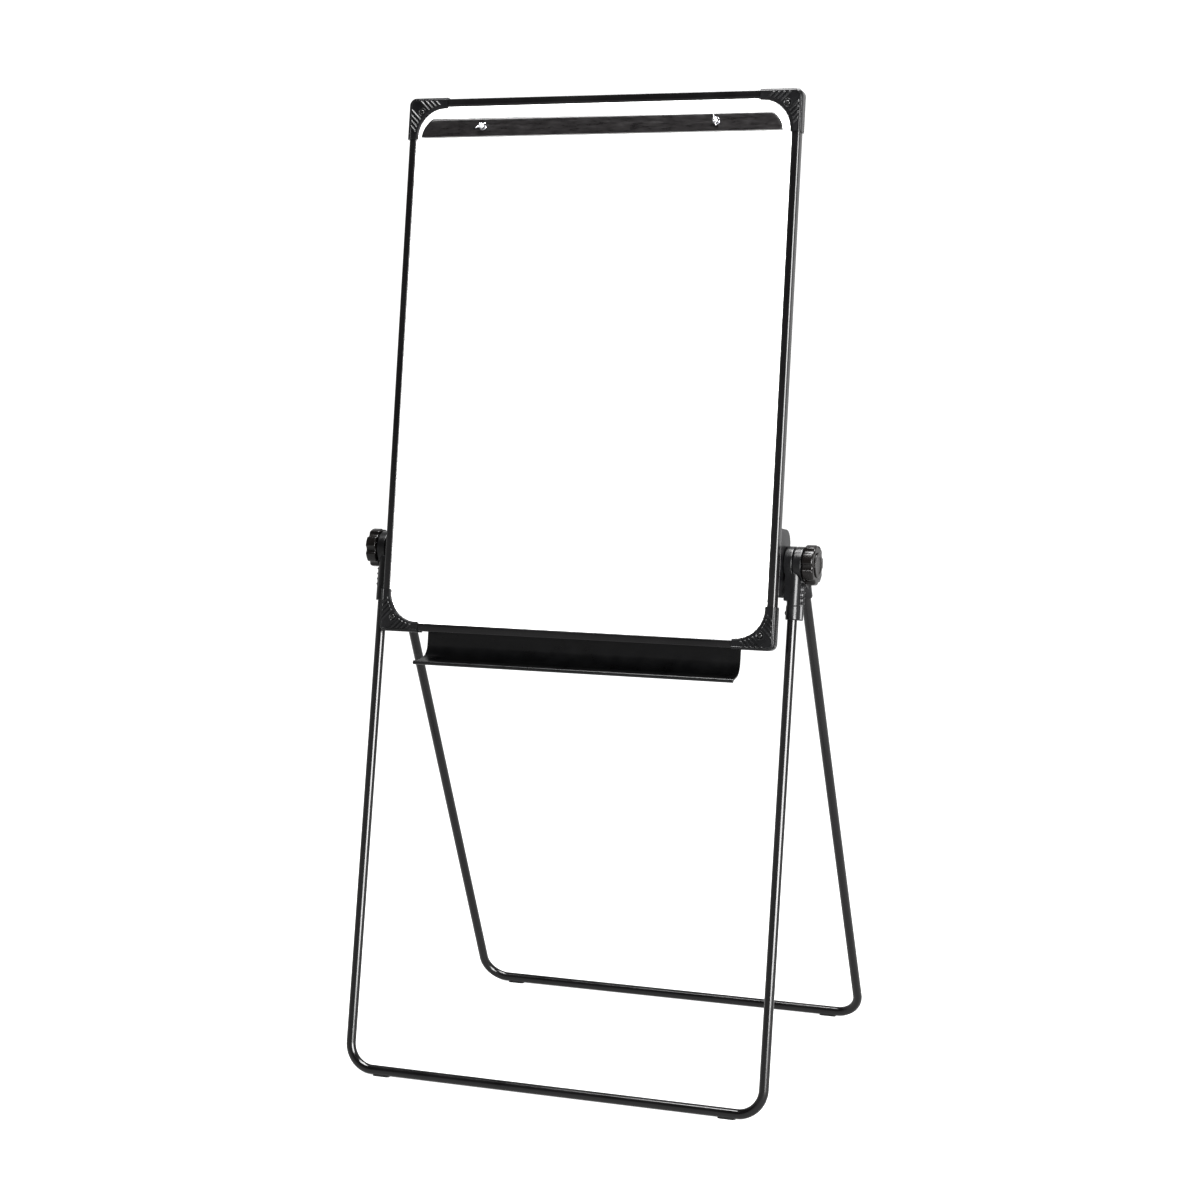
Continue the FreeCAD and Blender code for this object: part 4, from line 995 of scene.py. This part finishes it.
# ------------------------------------------------------------------ marker tray
def bent_line(points, radii, steps=10):
    """Straight runs in a plane joined by tangent arcs."""
    line = [Vector(points[0])]
    for index in range(1, len(points) - 1):
        corner = Vector(points[index])
        into = (Vector(points[index - 1]) - corner).normalized()
        out = (Vector(points[index + 1]) - corner).normalized()
        half = into.angle(out) / 2.0
        radius = radii[index - 1]
        bisector = (into + out).normalized()
        centre = corner + bisector * (radius / math.sin(half))
        start = corner + into * (radius / math.tan(half)) - centre
        end = corner + out * (radius / math.tan(half)) - centre
        turn = start.angle(end)
        for n in range(steps + 1):
            f = n / steps
            blend = (start * math.sin((1 - f) * turn) + end * math.sin(f * turn)) / math.sin(turn)
            line.append(centre + blend)
    line.append(Vector(points[-1]))
    return line


def tray_section(low, high, rail_low, flange_y):
    """Closed (y, z) outline of the tray: flange, box back, trough and a rolled lip."""
    half = TRAY_SHEET / 2.0
    back_y = high.y - half
    top = high.z - half
    lip = Vector((low.y + TRAY_BEAD, low.z + TRAY_BEAD))
    corners = [(flange_y, rail_low.z + TRAY_FLANGE_HEM), (flange_y, top), (back_y, top),
               (back_y, lip.y + TRAY_TROUGH), tuple(lip)]
    line = bent_line(corners, TRAY_RADII)
    upper = []
    lower = []
    for index, point in enumerate(line):
        before = line[max(index - 1, 0)]
        after = line[min(index + 1, len(line) - 1)]
        along = (after - before).normalized()
        normal = Vector((-along.y, along.x))
        upper.append(point + normal * half)
        lower.append(point - normal * half)
    along = (line[-1] - line[-2]).normalized()
    heading = math.degrees(math.atan2(along.y, along.x))
    opening = math.degrees(math.asin(half / TRAY_BEAD))
    back_off = along * TRAY_BEAD * math.cos(math.radians(opening))
    upper[-1] -= back_off
    lower[-1] -= back_off
    bead = arc(tuple(lip), TRAY_BEAD, heading + 180 - opening, heading - 180 + opening, 28)
    return upper + [Vector(point) for point in bead[1:-1]] + lower[::-1]


def marker_tray():
    """Extruded tray under the board, its ends cut on a slant."""
    node = "marker_tray"
    low, high = box_in(BOARD_PLACE, node)
    rail_low, rail_high = box_in(BOARD_PLACE, "frame_rail_bottom")
    flange_y = rail_high.y + TRAY_SHEET / 2.0
    section = tray_section(low, high, rail_low, flange_y)
    arm_end = box_in(BOARD_PLACE, "corner_bracket_bottom_right")[1].x - BRACKET_ARM - 0.5 * MM
    rows = []
    columns = 60
    for n in range(columns + 1):
        u = -1.0 + 2.0 * n / columns
        row = []
        for point in section:
            forward = (point.x - low.y) / (high.y - low.y)
            reach = high.x - TRAY_SLANT * forward
            if point.x < flange_y + TRAY_SHEET and point.y > rail_low.z:
                reach = min(reach, arm_end)
            row.append(Vector((u * reach, point.x, point.y)))
        rows.append(row)
    add_piece("marker_tray_formed", Shape().tube(rows).mesh(node, BOARD_PLACE, 45.0), node)


# ------------------------------------------------------------------ what stays from the CAD model
def dress_cad_nodes():
    """Give every CAD piece the material of its slot."""
    for name, obj in frame["nodes"].items():
        obj.data.materials.clear()
        obj.data.materials.append(MATERIALS[SLOT_OF[name]])


def soften_edges(node, width):
    """Small rounded edge on a CAD piece that keeps its own mesh."""
    bevel = frame["nodes"][node].modifiers.new("soft_edge", "BEVEL")
    bevel.width = width
    bevel.segments = 2
    bevel.limit_method = "ANGLE"
    bevel.angle_limit = math.radians(40)


# ------------------------------------------------------------------ stage, light, camera
def studio_white(name):
    """Bright seamless paper, very slightly mottled."""
    s = Shader(name, (0.14, 0.14, 0.14), 0.85, specular=0.1)
    mottle = s.noise(3.0, detail=4.0)
    s.use("Base Color", s.ramp(mottle, [(0.3, 0.13), (0.7, 0.15)]))
    s.use("Emission Color", s.ramp(mottle, [(0.3, 0.99), (0.7, 1.0)]))
    s.principled.inputs["Emission Strength"].default_value = PAPER_GLOW
    return s.material


def seamless_floor():
    """Round floor that curves up into a wall, tall behind the easel and low in front of it."""
    rows = [[Vector((0.0, 0.0, 0.0))] * STAGE_SEGMENTS]
    for n in range(-1, STAGE_STEPS + 2):
        bend = math.radians(90.0 * min(max(n, 0), STAGE_STEPS) / STAGE_STEPS)
        reach = STAGE_RADIUS - STAGE_CURVE + STAGE_CURVE * math.sin(bend)
        if n < 0:
            reach = STAGE_RADIUS * 0.4
        row = []
        for turn in circle(STAGE_SEGMENTS):
            direction = Vector((math.sin(turn), math.cos(turn), 0.0))
            rise = STAGE_CURVE * (1.0 - math.cos(bend))
            if n > STAGE_STEPS:
                behind = smoothstep(direction.y, -0.55, 0.0)
                rise = STAGE_LOW_WALL + (STAGE_TALL_WALL - STAGE_LOW_WALL) * behind
            row.append(direction * reach + Vector((0.0, 0.0, rise)))
        rows.append(row)
    mesh = Shape().grid(rows, loop=True).mesh("seamless_floor", Matrix.Identity(4))
    mesh.materials.append(studio_white("seamless_white"))
    new_object("seamless_floor", mesh)


def area_light(name, place, target, size, power):
    """Rectangular light that faces its target."""
    data = bpy.data.lights.new(name, "AREA")
    data.shape = "RECTANGLE"
    data.size, data.size_y = size
    data.energy = power
    obj = new_object(name, data)
    obj.location = place
    obj.rotation_euler = (Vector(target) - Vector(place)).to_track_quat("-Z", "Y").to_euler()


def lights():
    """Faint even surroundings, a wide light from the right and one overhead."""
    world = bpy.data.worlds.new("studio")
    world.use_nodes = True
    background = world.node_tree.nodes["Background"]
    background.inputs["Color"].default_value = (1.0, 1.0, 1.0, 1.0)
    background.inputs["Strength"].default_value = WORLD_STRENGTH
    bpy.context.scene.world = world
    area_light("side_window", **SIDE_LIGHT)
    area_light("overhead", **OVERHEAD_LIGHT)


def camera():
    """Seen from the right and a little above the hubs, as a long lens sees it."""
    data = bpy.data.cameras.new("camera")
    data.sensor_width = 36.0
    data.lens = CAMERA_LENS
    data.shift_x, data.shift_y = CAMERA_SHIFT
    yaw = Matrix.Rotation(math.radians(CAMERA_YAW), 4, "Z")
    pitch = Matrix.Rotation(math.radians(90.0 - CAMERA_DOWN), 4, "X")
    roll = Matrix.Rotation(math.radians(CAMERA_ROLL), 4, "Z")
    obj = new_object("camera", data)
    obj.matrix_world = Matrix.Translation(HUB + CAMERA_FROM_HUB) @ yaw @ pitch @ roll
    bpy.context.scene.camera = obj


def build_pieces():
    """Every piece with a finer mesh, then the edges of the pieces that keep their CAD mesh."""
    leg_tube("front_leg_tube", -1)
    leg_tube("rear_leg_tube", 1)
    hubs_and_pivot_brackets()
    bolt_heads()
    for side in ("left", "right"):
        knob(side)
        knob_cap(side)
    frame_bar("frame_stile_left", "high")
    frame_bar("frame_stile_right", "low")
    frame_bar("frame_rail_top", "low")
    frame_bar("frame_rail_bottom", "high")
    corner_brackets()
    corner_screws()
    clamp_bar()
    threaded_studs()
    clamp_washers()
    for side, centre in zip(("left", "right"), stud_places()):
        wing_nut("wing_nut_" + side, centre)
    marker_tray()
    for node in ("front_glide_left", "front_glide_right", "rear_glide_left", "rear_glide_right"):
        soften_edges(node, 0.3 * MM)
    for node in ("pad_clamp_grip", "tray_screws", "pivot_bracket_screws"):
        soften_edges(node, 0.2 * MM)


dress_cad_nodes()
build_pieces()
seamless_floor()
lights()
camera()
bpy.context.scene.view_settings.view_transform = "Standard"
bpy.context.scene.view_settings.gamma = GAMMA
